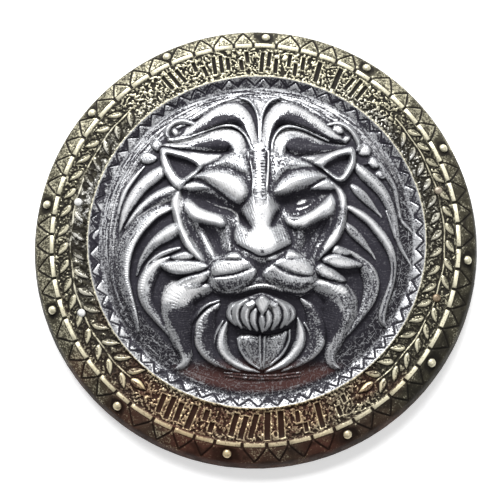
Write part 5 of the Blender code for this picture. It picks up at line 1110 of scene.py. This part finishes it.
def shifted(xyz, base_r):
    fade = (1 - sstep(BAND_IN, BAND_OUT - 3, base_r))
    xyz[..., 0] += INNER_SHIFT[0] * fade
    xyz[..., 1] += INNER_SHIFT[1] * fade
    return xyz


def spokes(n):
    a = np.radians(np.arange(n) * 360 / n)
    return np.sin(a), np.cos(a)


def columns_for(r, top=TURN):
    n = top
    while n > 16 and 2 * math.pi * r / n < 0.34:
        n //= 2
    return n


def shell_net():
    field = Field()
    rows = stations()
    ring = Ring(rows)
    ring.carve()
    net = Net()
    # face of the field, centre outwards
    radii = np.arange(0, FIELD_R - 0.2, 0.55)
    for r in radii:
        n = 1 if r == 0 else columns_for(r)
        s, c = spokes(n)
        x, y = r * s, r * c
        px, py = drawn(x, y, FIELD_Z, DRAWN_AT)
        edge = 1 - sstep(159.5, 163.8, np.full(n, r))
        z = FIELD_Z + field.at(field.h, px, py) * edge
        qx, qy = drawn(px, py, DRAWN_AT, z)
        maps = np.zeros((n, len(MAPS)))
        maps[:, 0] = field.at(field.high, px, py)
        maps[:, 1] = field.at(field.deep, px, py)
        maps[:, 3] = field.at(field.reddish_low, px, py)
        # a painted shadow along the foot of the field at the bottom
        maps[:, 5] = np.maximum(field.at(field.ink_and_shade, px, py), 0.8 * sstep(156, 160.5, np.full(n, r)) * sstep(0.72, 0.88, -py / max(r, 1.0)))
        maps[:, 6] = field.at(field.accent, px, py)
        for k, grid in enumerate((field.run, field.cross, field.streaky, field.scribbled)):
            maps[:, 8 + k] = field.at(grid, px, py) * (1 - sstep(162.6, 164.7, np.full(n, r)) if k > 1 else 1)
        net.row(shifted(np.column_stack([qx, qy, z]), np.full(n, r)), maps)
    # the rim
    for k in range(len(rows)):
        n = TURN
        if k >= ring.wall + 1:
            n = TURN // 2
        if k >= ring.wall + 3:
            n = TURN // 4
        skip = TURN // n
        a = np.radians(ring.a[::skip])
        r0, z0, nr, nz = rows[k]
        h = ring.h[::skip, k]
        r, z = r0 + nr * h, z0 + nz * h
        xyz = np.column_stack([r * np.sin(a), r * np.cos(a), z])
        net.row(shifted(xyz, np.full(n, r0)), ring.maps[::skip, k, :])
    # the back: under the rim, then the hollow behind the face
    n = TURN // 4
    s, c = spokes(n)
    back = [(RIM_R - RIM_EDGE, 0.0), (BEVEL_R - 0.6, BEVEL_Z - 6.4), (BEVEL_R - 1.6, BEVEL_Z - 3.6), (RIDGE_OUT - 0.2, RIDGE_Z - WALL - 1.1), (BAND_OUT, BAND_Z - WALL), (BAND_IN - 1.6, BAND_Z - WALL), (BAND_IN - 3.4, BAND_Z - WALL - 0.5), (FIELD_R + 1.4, FIELD_Z - WALL + 0.4)]
    path = []
    for (r0, z0), (r1, z1) in zip(back, back[1:]):
        m = max(1, int(round(math.hypot(r1 - r0, z1 - z0) / 2.4)))
        path += [(r0 + (r1 - r0) * k / m, z0 + (z1 - z0) * k / m) for k in range(m)]
    path.append(back[-1])
    bare = np.zeros((n, len(MAPS)))
    bare[:, 7] = 1.0
    edge = bare.copy()
    edge[:, 7] = 0.55
    for k, (r, z) in enumerate(path):
        net.row(shifted(np.column_stack([r * s, r * c, np.full(n, z)]), np.full(n, r)), edge if k == 0 else bare)
    low = field.h.copy()
    for reach in (2.6, 5.2):
        for k in range(8):
            dy, dx = (int(round(reach / FINE * f(math.pi * k / 4))) for f in (math.sin, math.cos))
            low = np.minimum(low, np.roll(np.roll(field.h, dy, 0), dx, 1))
    low = np.minimum(blur(low, 2.4 / FINE), low + 0.25)
    for r in np.arange(math.floor(FIELD_R / 1.5) * 1.5, -0.1, -1.5):
        m = 1 if r < 0.5 else min(n, columns_for(r * 0.36, TURN // 4))
        s, c = spokes(m)
        px, py = drawn(r * s, r * c, FIELD_Z, DRAWN_AT)
        lift = field.at(low, px, py) * (1 - sstep(158.5, 163, np.full(m, r)))
        z = FIELD_Z - WALL - 0.5 * np.clip(lift / 4, 0, 1) + lift
        qx, qy = drawn(px, py, DRAWN_AT, z)
        maps = np.zeros((m, len(MAPS)))
        maps[:, 7] = 1.0
        net.row(shifted(np.column_stack([qx, qy, z]), np.full(m, r)), maps)
    return net


def mesh_from(name, points, faces):
    mesh = bpy.data.meshes.new(name)
    mesh.vertices.add(len(points))
    mesh.vertices.foreach_set("co", np.ascontiguousarray(points, np.float32).ravel())
    mesh.loops.add(faces.size)
    mesh.loops.foreach_set("vertex_index", np.ascontiguousarray(faces, np.int32).ravel())
    mesh.polygons.add(len(faces))
    mesh.polygons.foreach_set("loop_start", np.arange(0, faces.size, 3, dtype=np.int32))
    mesh.update(calc_edges=True)
    return mesh


def make_shell():
    net = shell_net()
    points = np.vstack(net.points) * MM
    maps = np.vstack(net.maps)
    faces = np.vstack(net.faces)
    fine = mesh_from("shell_net", points, faces)
    normals = np.empty(len(points) * 3, np.float32)
    fine.vertex_normals.foreach_get("vector", normals)
    fine.attributes.new("fine_normal", "FLOAT_VECTOR", "POINT").data.foreach_set("vector", normals)
    for k, name in enumerate(MAPS):
        fine.attributes.new(name, "FLOAT", "POINT").data.foreach_set("value", np.ascontiguousarray(maps[:, k], np.float32))
    guide = bpy.data.objects.new("shell_guide", fine)
    bpy.context.scene.collection.objects.link(guide)
    thin = guide.modifiers.new("fewer_faces", "DECIMATE")
    thin.ratio = TRIANGLES / len(faces)
    mesh = bpy.data.meshes.new_from_object(guide.evaluated_get(bpy.context.evaluated_depsgraph_get()))
    bpy.data.objects.remove(guide, do_unlink=True)
    bpy.data.meshes.remove(fine)
    mesh.name = "shield_shell"
    mesh.shade_smooth()
    kept = np.empty(len(mesh.vertices) * 3, np.float32)
    mesh.attributes["fine_normal"].data.foreach_get("vector", kept)
    kept = kept.reshape(-1, 3)
    kept /= np.maximum(np.linalg.norm(kept, axis=1), 1e-6)[:, None]
    mesh.attributes.remove(mesh.attributes["fine_normal"])
    mesh.normals_split_custom_set_from_vertices(kept)
    shell = bpy.data.objects.new("shield_shell", mesh)
    bpy.context.scene.collection.objects.link(shell)
    return shell


# ---------------------------------------------------------------- node helpers
class Tree:
    def __init__(self, name):
        self.mat = bpy.data.materials.new(name)
        self.mat.use_nodes = True
        self.nodes, self.links = self.mat.node_tree.nodes, self.mat.node_tree.links
        self.nodes.clear()
        self.out = self.nodes.new("ShaderNodeOutputMaterial")
        self.skin = self.nodes.new("ShaderNodeBsdfPrincipled")
        self.links.new(self.skin.outputs[0], self.out.inputs["Surface"])
        self.places = self.nodes.new("ShaderNodeTexCoord").outputs["Object"]

    def put(self, value, socket):
        if isinstance(value, bpy.types.NodeSocket):
            self.links.new(value, socket)
        else:
            socket.default_value = value

    def attribute(self, name):
        node = self.nodes.new("ShaderNodeAttribute")
        node.attribute_name = name
        return node.outputs["Fac"]

    def math(self, kind, a, b=0.0, clamp=False):
        node = self.nodes.new("ShaderNodeMath")
        node.operation, node.use_clamp = kind, clamp
        self.put(a, node.inputs[0])
        self.put(b, node.inputs[1])
        return node.outputs[0]

    def spread(self, value, low, high, to_low=0.0, to_high=1.0):
        node = self.nodes.new("ShaderNodeMapRange")
        node.interpolation_type = "SMOOTHSTEP"
        for socket, v in zip(node.inputs[0:5], (value, low, high, to_low, to_high)):
            self.put(v, socket)
        return node.outputs[0]

    def mix(self, amount, a, b, kind="MIX"):
        node = self.nodes.new("ShaderNodeMix")
        node.data_type, node.blend_type = "RGBA", kind
        self.put(amount, node.inputs["Factor"])
        for value, socket in ((a, node.inputs[6]), (b, node.inputs[7])):
            self.put(value if isinstance(value, bpy.types.NodeSocket) else (*value, 1.0), socket)
        return node.outputs[2]

    def blend(self, amount, a, b):
        node = self.nodes.new("ShaderNodeMix")
        node.data_type = "FLOAT"
        for value, socket in ((amount, node.inputs[0]), (a, node.inputs[2]), (b, node.inputs[3])):
            self.put(value, socket)
        return node.outputs[0]

    def noise(self, scale, detail=3.0, rough=0.55, stretch=None, turn=0.0, distortion=0.0):
        node = self.nodes.new("ShaderNodeTexNoise")
        node.inputs["Scale"].default_value = scale
        node.inputs["Detail"].default_value = detail
        node.inputs["Roughness"].default_value = rough
        node.inputs["Distortion"].default_value = distortion
        if stretch:
            mapping = self.nodes.new("ShaderNodeMapping")
            mapping.inputs["Scale"].default_value = stretch
            mapping.inputs["Rotation"].default_value = (0, 0, turn)
            self.links.new(self.places, mapping.inputs["Vector"])
            self.links.new(mapping.outputs[0], node.inputs["Vector"])
        else:
            self.links.new(self.places, node.inputs["Vector"])
        return node.outputs["Fac"]

    def vector(self, x, y, z=0.0):
        node = self.nodes.new("ShaderNodeCombineXYZ")
        for value, socket in zip((x, y, z), node.inputs):
            self.put(value, socket)
        return node.outputs[0]

    def noise_at(self, vector, scale, detail=3.0, rough=0.55):
        node = self.nodes.new("ShaderNodeTexNoise")
        for name, value in (("Scale", scale), ("Detail", detail), ("Roughness", rough)):
            node.inputs[name].default_value = value
        self.links.new(vector, node.inputs["Vector"])
        return node.outputs["Fac"]

    def bump(self, height, distance, strength=1.0):
        node = self.nodes.new("ShaderNodeBump")
        node.inputs["Strength"].default_value = strength
        node.inputs["Distance"].default_value = distance
        self.links.new(height, node.inputs["Height"])
        self.links.new(node.outputs[0], self.skin.inputs["Normal"])

    def set(self, **values):
        for name, value in values.items():
            self.put((*value, 1.0) if isinstance(value, tuple) and len(value) == 3 else value, self.skin.inputs[name.replace("_", " ")])


# ---------------------------------------------------------------- paint on the shell
def shell_material():
    t = Tree("antique_silver_and_gilt_paint")
    high, deep = t.attribute("high"), t.attribute("deep")
    gilt, brown, spray = t.attribute("gilt"), t.attribute("brown"), t.attribute("spray")
    ink_and_shade, accent, inside = t.attribute("ink_and_shade"), t.attribute("accent"), t.attribute("inside")
    cloudy = t.noise(38, 4, 0.6)
    grain = t.noise(330, 3, 0.6)
    brushed = t.noise(90, 3, 0.6, stretch=(1.0, 14.0, 1.0), turn=0.6)
    specks = t.noise(560, 2, 0.5)
    # how much metallic paint a place has kept
    fleck = t.noise(590, 3, 0.65)
    rough = t.math("ADD", t.math("MULTIPLY", t.math("SUBTRACT", grain, 0.5), 0.9), t.math("MULTIPLY", t.math("SUBTRACT", cloudy, 0.5), 0.5))
    rough = t.math("ADD", rough, t.math("MULTIPLY", t.math("SUBTRACT", fleck, 0.5), 1.3))
    # brush strokes that follow each form, and short cuts across its flanks
    run, cross = t.attribute("run"), t.attribute("cross")
    strokes = t.noise_at(t.vector(t.math("MULTIPLY", run, 0.085), t.math("MULTIPLY", cross, 0.62), t.math("MULTIPLY", cloudy, 1.5)), 1.0, 4, 0.7)
    waver = t.math("ADD", t.math("MULTIPLY", run, 2.42), t.math("MULTIPLY", cloudy, 9.0))
    cuts = t.math("ADD", t.math("MULTIPLY", t.math("SINE", waver), 0.5), t.math("MULTIPLY", t.math("SUBTRACT", fleck, 0.5), 1.3))
    flank = t.spread(t.math("ABSOLUTE", cross), 0.6, 3.5)
    cuts = t.math("MULTIPLY", t.spread(cuts, -0.10, 0.45), flank)
    on_form = t.spread(t.math("ABSOLUTE", cross), 0.0, 0.15)
    rough = t.math("ADD", rough, t.math("MULTIPLY", t.math("MULTIPLY", t.math("SUBTRACT", strokes, 0.5), 1.5), on_form))
    rough = t.math("SUBTRACT", rough, t.math("MULTIPLY", cuts, 0.10))
    kept = t.math("SUBTRACT", t.math("ADD", high, rough), t.math("MULTIPLY", deep, 0.55))
    field_kept = t.spread(kept, 0.18, 0.72)
    rim_kept = t.spread(kept, 0.42, 0.92, 0.0, 0.85)
    kept = t.blend(gilt, field_kept, rim_kept)
    # paint rubbed bright, with painted highlights
    rubbed_and_highlit = t.math("MULTIPLY", accent, t.spread(t.math("ADD", specks, t.math("MULTIPLY", high, 0.2)), 0.45, 0.55, 0.42, 1.0))
    kept = t.math("MAXIMUM", kept, rubbed_and_highlit)
    # the wash and painted shade go on in scratches: where they are half laid they break up along each form
    scratch = t.math("ADD", t.math("MULTIPLY", strokes, 0.34), t.math("ADD", t.math("MULTIPLY", fleck, 0.5), t.math("MULTIPLY", grain, 0.16)))
    scratch = t.math("SUBTRACT", scratch, t.math("MULTIPLY", cuts, 0.03))
    half_laid = t.math("MULTIPLY", ink_and_shade, t.math("SUBTRACT", 1.0, ink_and_shade))
    laid = t.math("ADD", ink_and_shade, t.math("MULTIPLY", half_laid, t.math("MULTIPLY", t.math("SUBTRACT", 0.5, scratch), 13.0)))
    laid = t.spread(laid, 0.22, 0.74, 0.0, 0.985)
    laid = t.math("MULTIPLY", laid, t.spread(scratch, 0.52, 0.62, 1.0, 0.80))
    kept = t.math("MULTIPLY", kept, t.math("POWER", t.math("SUBTRACT", 1.0, laid), 1.25))
    # the ground: streaks brushed round it, scribbles in the thick wash below
    place = t.nodes.new("ShaderNodeSeparateXYZ")
    t.links.new(t.places, place.inputs[0])
    angle = t.math("ARCTAN2", place.outputs[0], place.outputs[1])
    radius = t.math("SQRT", t.math("ADD", t.math("MULTIPLY", place.outputs[0], place.outputs[0]), t.math("MULTIPLY", place.outputs[1], place.outputs[1])))
    rings = t.vector(t.math("MULTIPLY", t.math("COSINE", angle), 5.0), t.math("MULTIPLY", t.math("SINE", angle), 5.0), t.math("MULTIPLY", radius, 520.0))
    streaks = t.math("ADD", t.noise_at(rings, 1.0, 3, 0.6), t.math("MULTIPLY", t.math("SUBTRACT", fleck, 0.5), 0.7))
    squiggle = t.math("ABSOLUTE", t.math("SUBTRACT", t.noise(215, 1, 0.4, distortion=0.6), 0.5))
    scribbles = t.math("ADD", t.spread(squiggle, 0.008, 0.032, 0.34, 0.0), t.spread(streaks, 0.57, 0.72, 0.0, 0.44))
    scribbles = t.math("MULTIPLY", scribbles, t.math("SUBTRACT", 1.0, t.math("MULTIPLY", brown, 0.55)))
    kept = t.blend(t.attribute("streaky"), kept, t.spread(streaks, 0.455, 0.605, 0.0, 1.0))
    kept = t.blend(t.attribute("scribbled"), kept, scribbles)
    wash_field = t.mix(cloudy, (0.019, 0.018, 0.024), (0.036, 0.034, 0.044))
    wash_field = t.mix(t.math("MULTIPLY", t.attribute("scribbled"), 0.75), wash_field, (0.011, 0.010, 0.013))
    scraped = t.spread(t.math("ADD", brushed, t.math("MULTIPLY", t.math("SUBTRACT", fleck, 0.5), 0.8)), 0.56, 0.78, 0.0, 0.55)
    wash_field = t.mix(t.math("MULTIPLY", scraped, t.math("SUBTRACT", 1.0, t.attribute("scribbled"))), wash_field, (0.115, 0.112, 0.125))
    # the field's wash turns reddish brown towards the bottom
    wash_reddish = t.mix(cloudy, (0.036, 0.015, 0.014), (0.080, 0.038, 0.034))
    wash_field = t.mix(t.math("MULTIPLY", brown, t.math("SUBTRACT", 1.0, gilt)), wash_field, wash_reddish)
    # brown makes the rim's wash browner and darker towards the bottom: painted shade and reflection
    wash_rim = t.mix(brown, (0.016, 0.014, 0.011), (0.026, 0.011, 0.007))
    face_tone = t.mix(brown, (0.048, 0.044, 0.030), (0.082, 0.034, 0.024))
    wash_rim = t.mix(t.math("MULTIPLY", t.spread(deep, 0.03, 0.28, 0.85, 0.0), t.spread(ink_and_shade, 0.80, 0.95, 1.0, 0.3)), wash_rim, face_tone)
    wash_and_shade = t.mix(gilt, wash_field, wash_rim)
    silver = t.mix(brushed, (0.44, 0.45, 0.47), (0.66, 0.67, 0.69))
    silver = t.mix(rubbed_and_highlit, silver, (0.93, 0.93, 0.94))
    # the gold turns browner and darker towards the bottom: painted shade and reflection
    gold = t.mix(t.math("MULTIPLY", brown, 0.9), (0.68, 0.64, 0.46), (0.52, 0.38, 0.22))
    gold = t.mix(rubbed_and_highlit, gold, t.mix(brown, (0.93, 0.88, 0.66), (0.88, 0.74, 0.44)))
    metal = t.mix(t.math("MULTIPLY", gilt, t.math("SUBTRACT", 1.0, t.math("MULTIPLY", spray, 0.75))), silver, gold)
    colour = t.mix(kept, wash_and_shade, metal)
    plastic = t.mix(cloudy, (0.016, 0.013, 0.012), (0.028, 0.023, 0.021))
    back = t.spread(inside, 0.2, 0.7)
    t.set(Base_Color=t.mix(back, colour, plastic))
    leafing = t.blend(rubbed_and_highlit, 0.80, 0.40)
    t.set(Metallic=t.math("MULTIPLY", t.math("MULTIPLY", kept, leafing), t.math("SUBTRACT", 1.0, back)))
    shine = t.blend(kept, 0.62, 0.38)
    shine = t.math("ADD", shine, t.math("MULTIPLY", t.math("SUBTRACT", brushed, 0.5), 0.16))
    t.set(Roughness=t.blend(back, shine, 0.46))
    t.set(Specular_IOR_Level=t.blend(kept, 0.08, 0.35))
    marks = t.math("ADD", t.math("MULTIPLY", grain, 0.6), t.math("MULTIPLY", strokes, 0.9))
    t.bump(t.math("SUBTRACT", marks, t.math("MULTIPLY", cuts, 0.8)), 0.00030, 0.7)
    return t.mat


def strap_material():
    t = Tree("black_moulded_plastic")
    pebbles, cloudy = t.noise(900, 2, 0.5), t.noise(30, 4, 0.6)
    t.set(Base_Color=t.mix(cloudy, (0.012, 0.012, 0.013), (0.028, 0.027, 0.027)))
    t.set(Roughness=t.spread(pebbles, 0.3, 0.7, 0.42, 0.60))
    t.bump(pebbles, 0.00012, 0.6)
    return t.mat


def rivet_material(name, light, worn):
    t = Tree(name)
    cloudy, specks = t.noise(160, 4, 0.65), t.noise(900, 3, 0.6)
    chipped = t.spread(t.math("ADD", cloudy, t.math("MULTIPLY", specks, 0.35)), 0.62, 0.86)
    t.set(Base_Color=t.mix(chipped, light, worn))
    t.set(Metallic=t.blend(chipped, 0.25, 0.75))
    t.set(Roughness=t.blend(chipped, 0.42, 0.34))
    t.bump(t.math("ADD", specks, cloudy), 0.00010, 0.5)
    return t.mat


# ---------------------------------------------------------------- straps and rivets
BAND_THICK, BAND_DEPTH, GAP = 2.6, 20.5, 0.3
RIVET_R, RIVET_HEAD = 2.1, 4.3


def closed_tube(name, sections, faces_up=True):
    """A mesh through closed sections of equal count, with capped ends."""
    points = np.vstack(sections) * MM
    n, m = len(sections[0]), len(sections)
    faces = [(k * n + i, k * n + (i + 1) % n, (k + 1) * n + (i + 1) % n, (k + 1) * n + i) for k in range(m - 1) for i in range(n)]
    faces += [tuple(range(n))[::-1], tuple((m - 1) * n + i for i in range(n))]
    mesh = bpy.data.meshes.new(name)
    mesh.from_pydata([tuple(p) for p in points], [], faces)
    bm = bmesh.new()
    bm.from_mesh(mesh)
    bmesh.ops.recalc_face_normals(bm, faces=bm.faces)
    bm.to_mesh(mesh)
    bm.free()
    mesh.shade_smooth()
    mesh.set_sharp_from_angle(angle=math.radians(50))
    made = bpy.data.objects.new(name, mesh)
    bpy.context.scene.collection.objects.link(made)
    return made


def strap(name, top, bottom, width, rib_pitch):
    """A moulded strap: flat feet on the shell's back and an arch between, with rounded edges, a sunk panel and grip ribs."""
    (x1, y1), (x2, y2) = top, bottom
    half = math.hypot(x1 - x2, y1 - y2) / 2
    foot, corner = 9.0, 15.0
    roof, deep = BAND_Z - WALL - GAP, BAND_DEPTH - BAND_THICK
    right = [(half - foot * 0.5 - corner * 1.6 * t, deep * (3 * t * t - 2 * t**3)) for t in np.linspace(0, 1, 22)]
    inner = right[-1][0]
    right += [(float(s), deep) for s in np.linspace(inner, 0, 44)[1:]]
    right = [(half + foot - q, 0.0) for q in (0.0, 0.15, 0.6, 1.4, 2.6, 4.2, 6.2, 8.6)] + right
    line = np.array([(-s, d) for s, d in right] + [(s, d) for s, d in reversed(right[:-1])])
    run = np.gradient(line, axis=0)
    run /= np.linalg.norm(run, axis=1)[:, None]
    heading = math.atan2(y1 - y2, x1 - x2)
    c, s = math.cos(heading), math.sin(heading)
    mx, my = (x1 + x2) / 2, (y1 + y2) / 2
    w, e = width / 2, 0.7
    # one section: (across, depth as a share of the thickness, 1 where the panel is sunk)
    section = [(-w, 0.5, 0), (-w + 0.15, 0.2, 0), (-w + e, 0, 0), (0, 0, 0), (w - e, 0, 0), (w - 0.15, 0.2, 0), (w, 0.5, 0), (w - 0.15, 0.8, 0), (w - e, 1, 0), (w - 2.3, 1, 0), (w - 2.8, 1, 1), (w * 0.4, 1, 1), (0, 1, 1), (-w * 0.4, 1, 1), (-w + 2.8, 1, 1), (-w + 2.3, 1, 0), (-w + e, 1, 0), (-w + 0.15, 0.8, 0)]
    rings = []
    for (along, drop), (ds, dd) in zip(line, run):
        end = min(1.0, (half + foot - abs(along)) / 5.0)
        narrow = 0.72 + 0.28 * math.sqrt(max(0.0, 1 - (1 - end) ** 2))
        on_arch = 1 - float(sstep(inner - 5, inner - 1, abs(along)))
        rib = float(bell(along / rib_pitch - round(along / rib_pitch), 0.27)) if rib_pitch else 0.0
        ring = []
        for across, share, sunk in section:
            thick = BAND_THICK * share - sunk * on_arch * (0.7 - 0.7 * rib)
            p, q, z = along - thick * dd, across * narrow, roof - drop - thick * ds
            ring.append((mx + p * c - q * s, my + p * s + q * c, z))
        rings.append(np.array(ring))
    made = closed_tube(name + "_moulding", rings)
    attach(made, "root")
    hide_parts(name)
    return made


def rivet(name, place, light, worn):
    """Round head on the face, shank, and a flat tail behind, turned with rounded edges."""
    top = BAND_Z + GAP
    tail = BAND_Z - WALL - GAP - BAND_THICK - GAP
    profile = [(0.0, top + 2.6)]
    profile += [(RIVET_HEAD * math.sin(math.radians(a)), top + 0.4 + 2.2 * math.cos(math.radians(a))) for a in range(8, 91, 8)]
    profile += [(RIVET_HEAD, top + 0.35), (RIVET_HEAD - 0.12, top + 0.08), (RIVET_HEAD - 0.4, top), (RIVET_R, top), (RIVET_R, tail)]
    flat = RIVET_HEAD - 0.6
    profile += [(flat - 0.2, tail), (flat, tail - 0.25), (flat, tail - 0.75), (flat - 0.15, tail - 1.05), (flat - 0.5, tail - 1.2), (1.2, tail - 1.2), (0.9, tail - 0.95), (0.0, tail - 0.85)]
    bm = bmesh.new()
    n = 36
    rings = []
    for r, z in profile:
        if r == 0:
            rings.append([bm.verts.new((place[0] * MM, place[1] * MM, z * MM))])
        else:
            rings.append([bm.verts.new(((place[0] + r * math.cos(k * math.tau / n)) * MM, (place[1] + r * math.sin(k * math.tau / n)) * MM, z * MM)) for k in range(n)])
    for a, b in zip(rings, rings[1:]):
        for k in range(n):
            j = (k + 1) % n
            if len(a) == 1:
                bm.faces.new((a[0], b[k], b[j]))
            elif len(b) == 1:
                bm.faces.new((a[k], b[0], a[j]))
            else:
                bm.faces.new((a[k], b[k], b[j], a[j]))
    bmesh.ops.recalc_face_normals(bm, faces=bm.faces)
    mesh = bpy.data.meshes.new(name + "_turned")
    bm.to_mesh(mesh)
    bm.free()
    mesh.shade_smooth()
    mesh.set_sharp_from_angle(angle=math.radians(48))
    made = bpy.data.objects.new(name + "_turned", mesh)
    bpy.context.scene.collection.objects.link(made)
    mesh.materials.append(rivet_material(name + "_paint", light, worn))
    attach(made, "root")
    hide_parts(name)
    return made


# ---------------------------------------------------------------- the object
shell = make_shell()
shell.data.materials.clear()
shell.data.materials.append(shell_material())
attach(shell, "root")
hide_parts("shield")

plastic = strap_material()
hand = strap("hand_grip", RIVETS["rivet_grip_upper"], RIVETS["rivet_grip_lower"], 20.0, 5.2)
arm = strap("arm_band", RIVETS["rivet_arm_upper"], RIVETS["rivet_arm_lower"], 22.0, 0)
for piece in (hand, arm):
    piece.data.materials.append(plastic)
rivet("rivet_grip_upper", RIVETS["rivet_grip_upper"], (0.78, 0.78, 0.76), (0.42, 0.41, 0.40))
rivet("rivet_grip_lower", RIVETS["rivet_grip_lower"], (0.80, 0.80, 0.78), (0.42, 0.41, 0.40))
rivet("rivet_arm_upper", RIVETS["rivet_arm_upper"], (0.36, 0.31, 0.24), (0.16, 0.12, 0.08))
rivet("rivet_arm_lower", RIVETS["rivet_arm_lower"], (0.26, 0.20, 0.13), (0.11, 0.07, 0.04))


# ---------------------------------------------------------------- floor, light, camera
def floor():
    mesh = bpy.data.meshes.new("floor")
    mesh.from_pydata([(-6, -6, 0), (6, -6, 0), (6, 6, 0), (-6, 6, 0)], [], [(0, 1, 2, 3)])
    made = bpy.data.objects.new("floor", mesh)
    bpy.context.scene.collection.objects.link(made)
    t = Tree("pale_paper")
    t.set(Base_Color=t.mix(t.noise(3, 2), (0.93, 0.93, 0.93), (0.95, 0.95, 0.95)))
    t.set(Roughness=0.9)
    t.skin.inputs["Specular IOR Level"].default_value = 0.1
    t.set(Emission_Color=(1.0, 1.0, 1.0), Emission_Strength=0.40)
    mesh.materials.append(t.mat)


def area(name, place, target, wide, high, watts, colour=(1, 1, 1)):
    data = bpy.data.lights.new(name, "AREA")
    data.shape, data.size, data.size_y, data.energy, data.color = "RECTANGLE", wide, high, watts, colour
    lamp = bpy.data.objects.new(name, data)
    bpy.context.scene.collection.objects.link(lamp)
    lamp.location = place
    lamp.rotation_euler = (Vector(target) - Vector(place)).to_track_quat("-Z", "Y").to_euler()
    return lamp


floor()
area("key", (-0.35, 1.75, 1.55), (0, 0.0, 0.03), 1.8, 1.1, 105)
area("fill", (1.5, -0.6, 1.7), (0, 0, 0), 1.0, 1.0, 9)
world = bpy.data.worlds.new("studio")
world.use_nodes = True
world.node_tree.nodes["Background"].inputs["Color"].default_value = (1, 1, 1, 1)
world.node_tree.nodes["Background"].inputs["Strength"].default_value = 0.22
bpy.context.scene.world = world
bpy.context.scene.view_settings.view_transform = "Standard"

camera_data = bpy.data.cameras.new("camera")
camera_data.sensor_width, camera_data.lens = 36.0, 78.57
camera = bpy.data.objects.new("camera", camera_data)
bpy.context.scene.collection.objects.link(camera)
right, up, back = Vector((0.9998, 0.0, -0.0202)), Vector((0.0037, 0.9828, 0.1846)), Vector((0.0198, -0.1846, 0.9826))
turn = Matrix((right, up, back)).transposed().to_4x4()
camera.matrix_world = Matrix.Translation((0.0201, -0.2204, 1.1494)) @ turn.to_quaternion().to_matrix().to_4x4()
bpy.context.scene.camera = camera
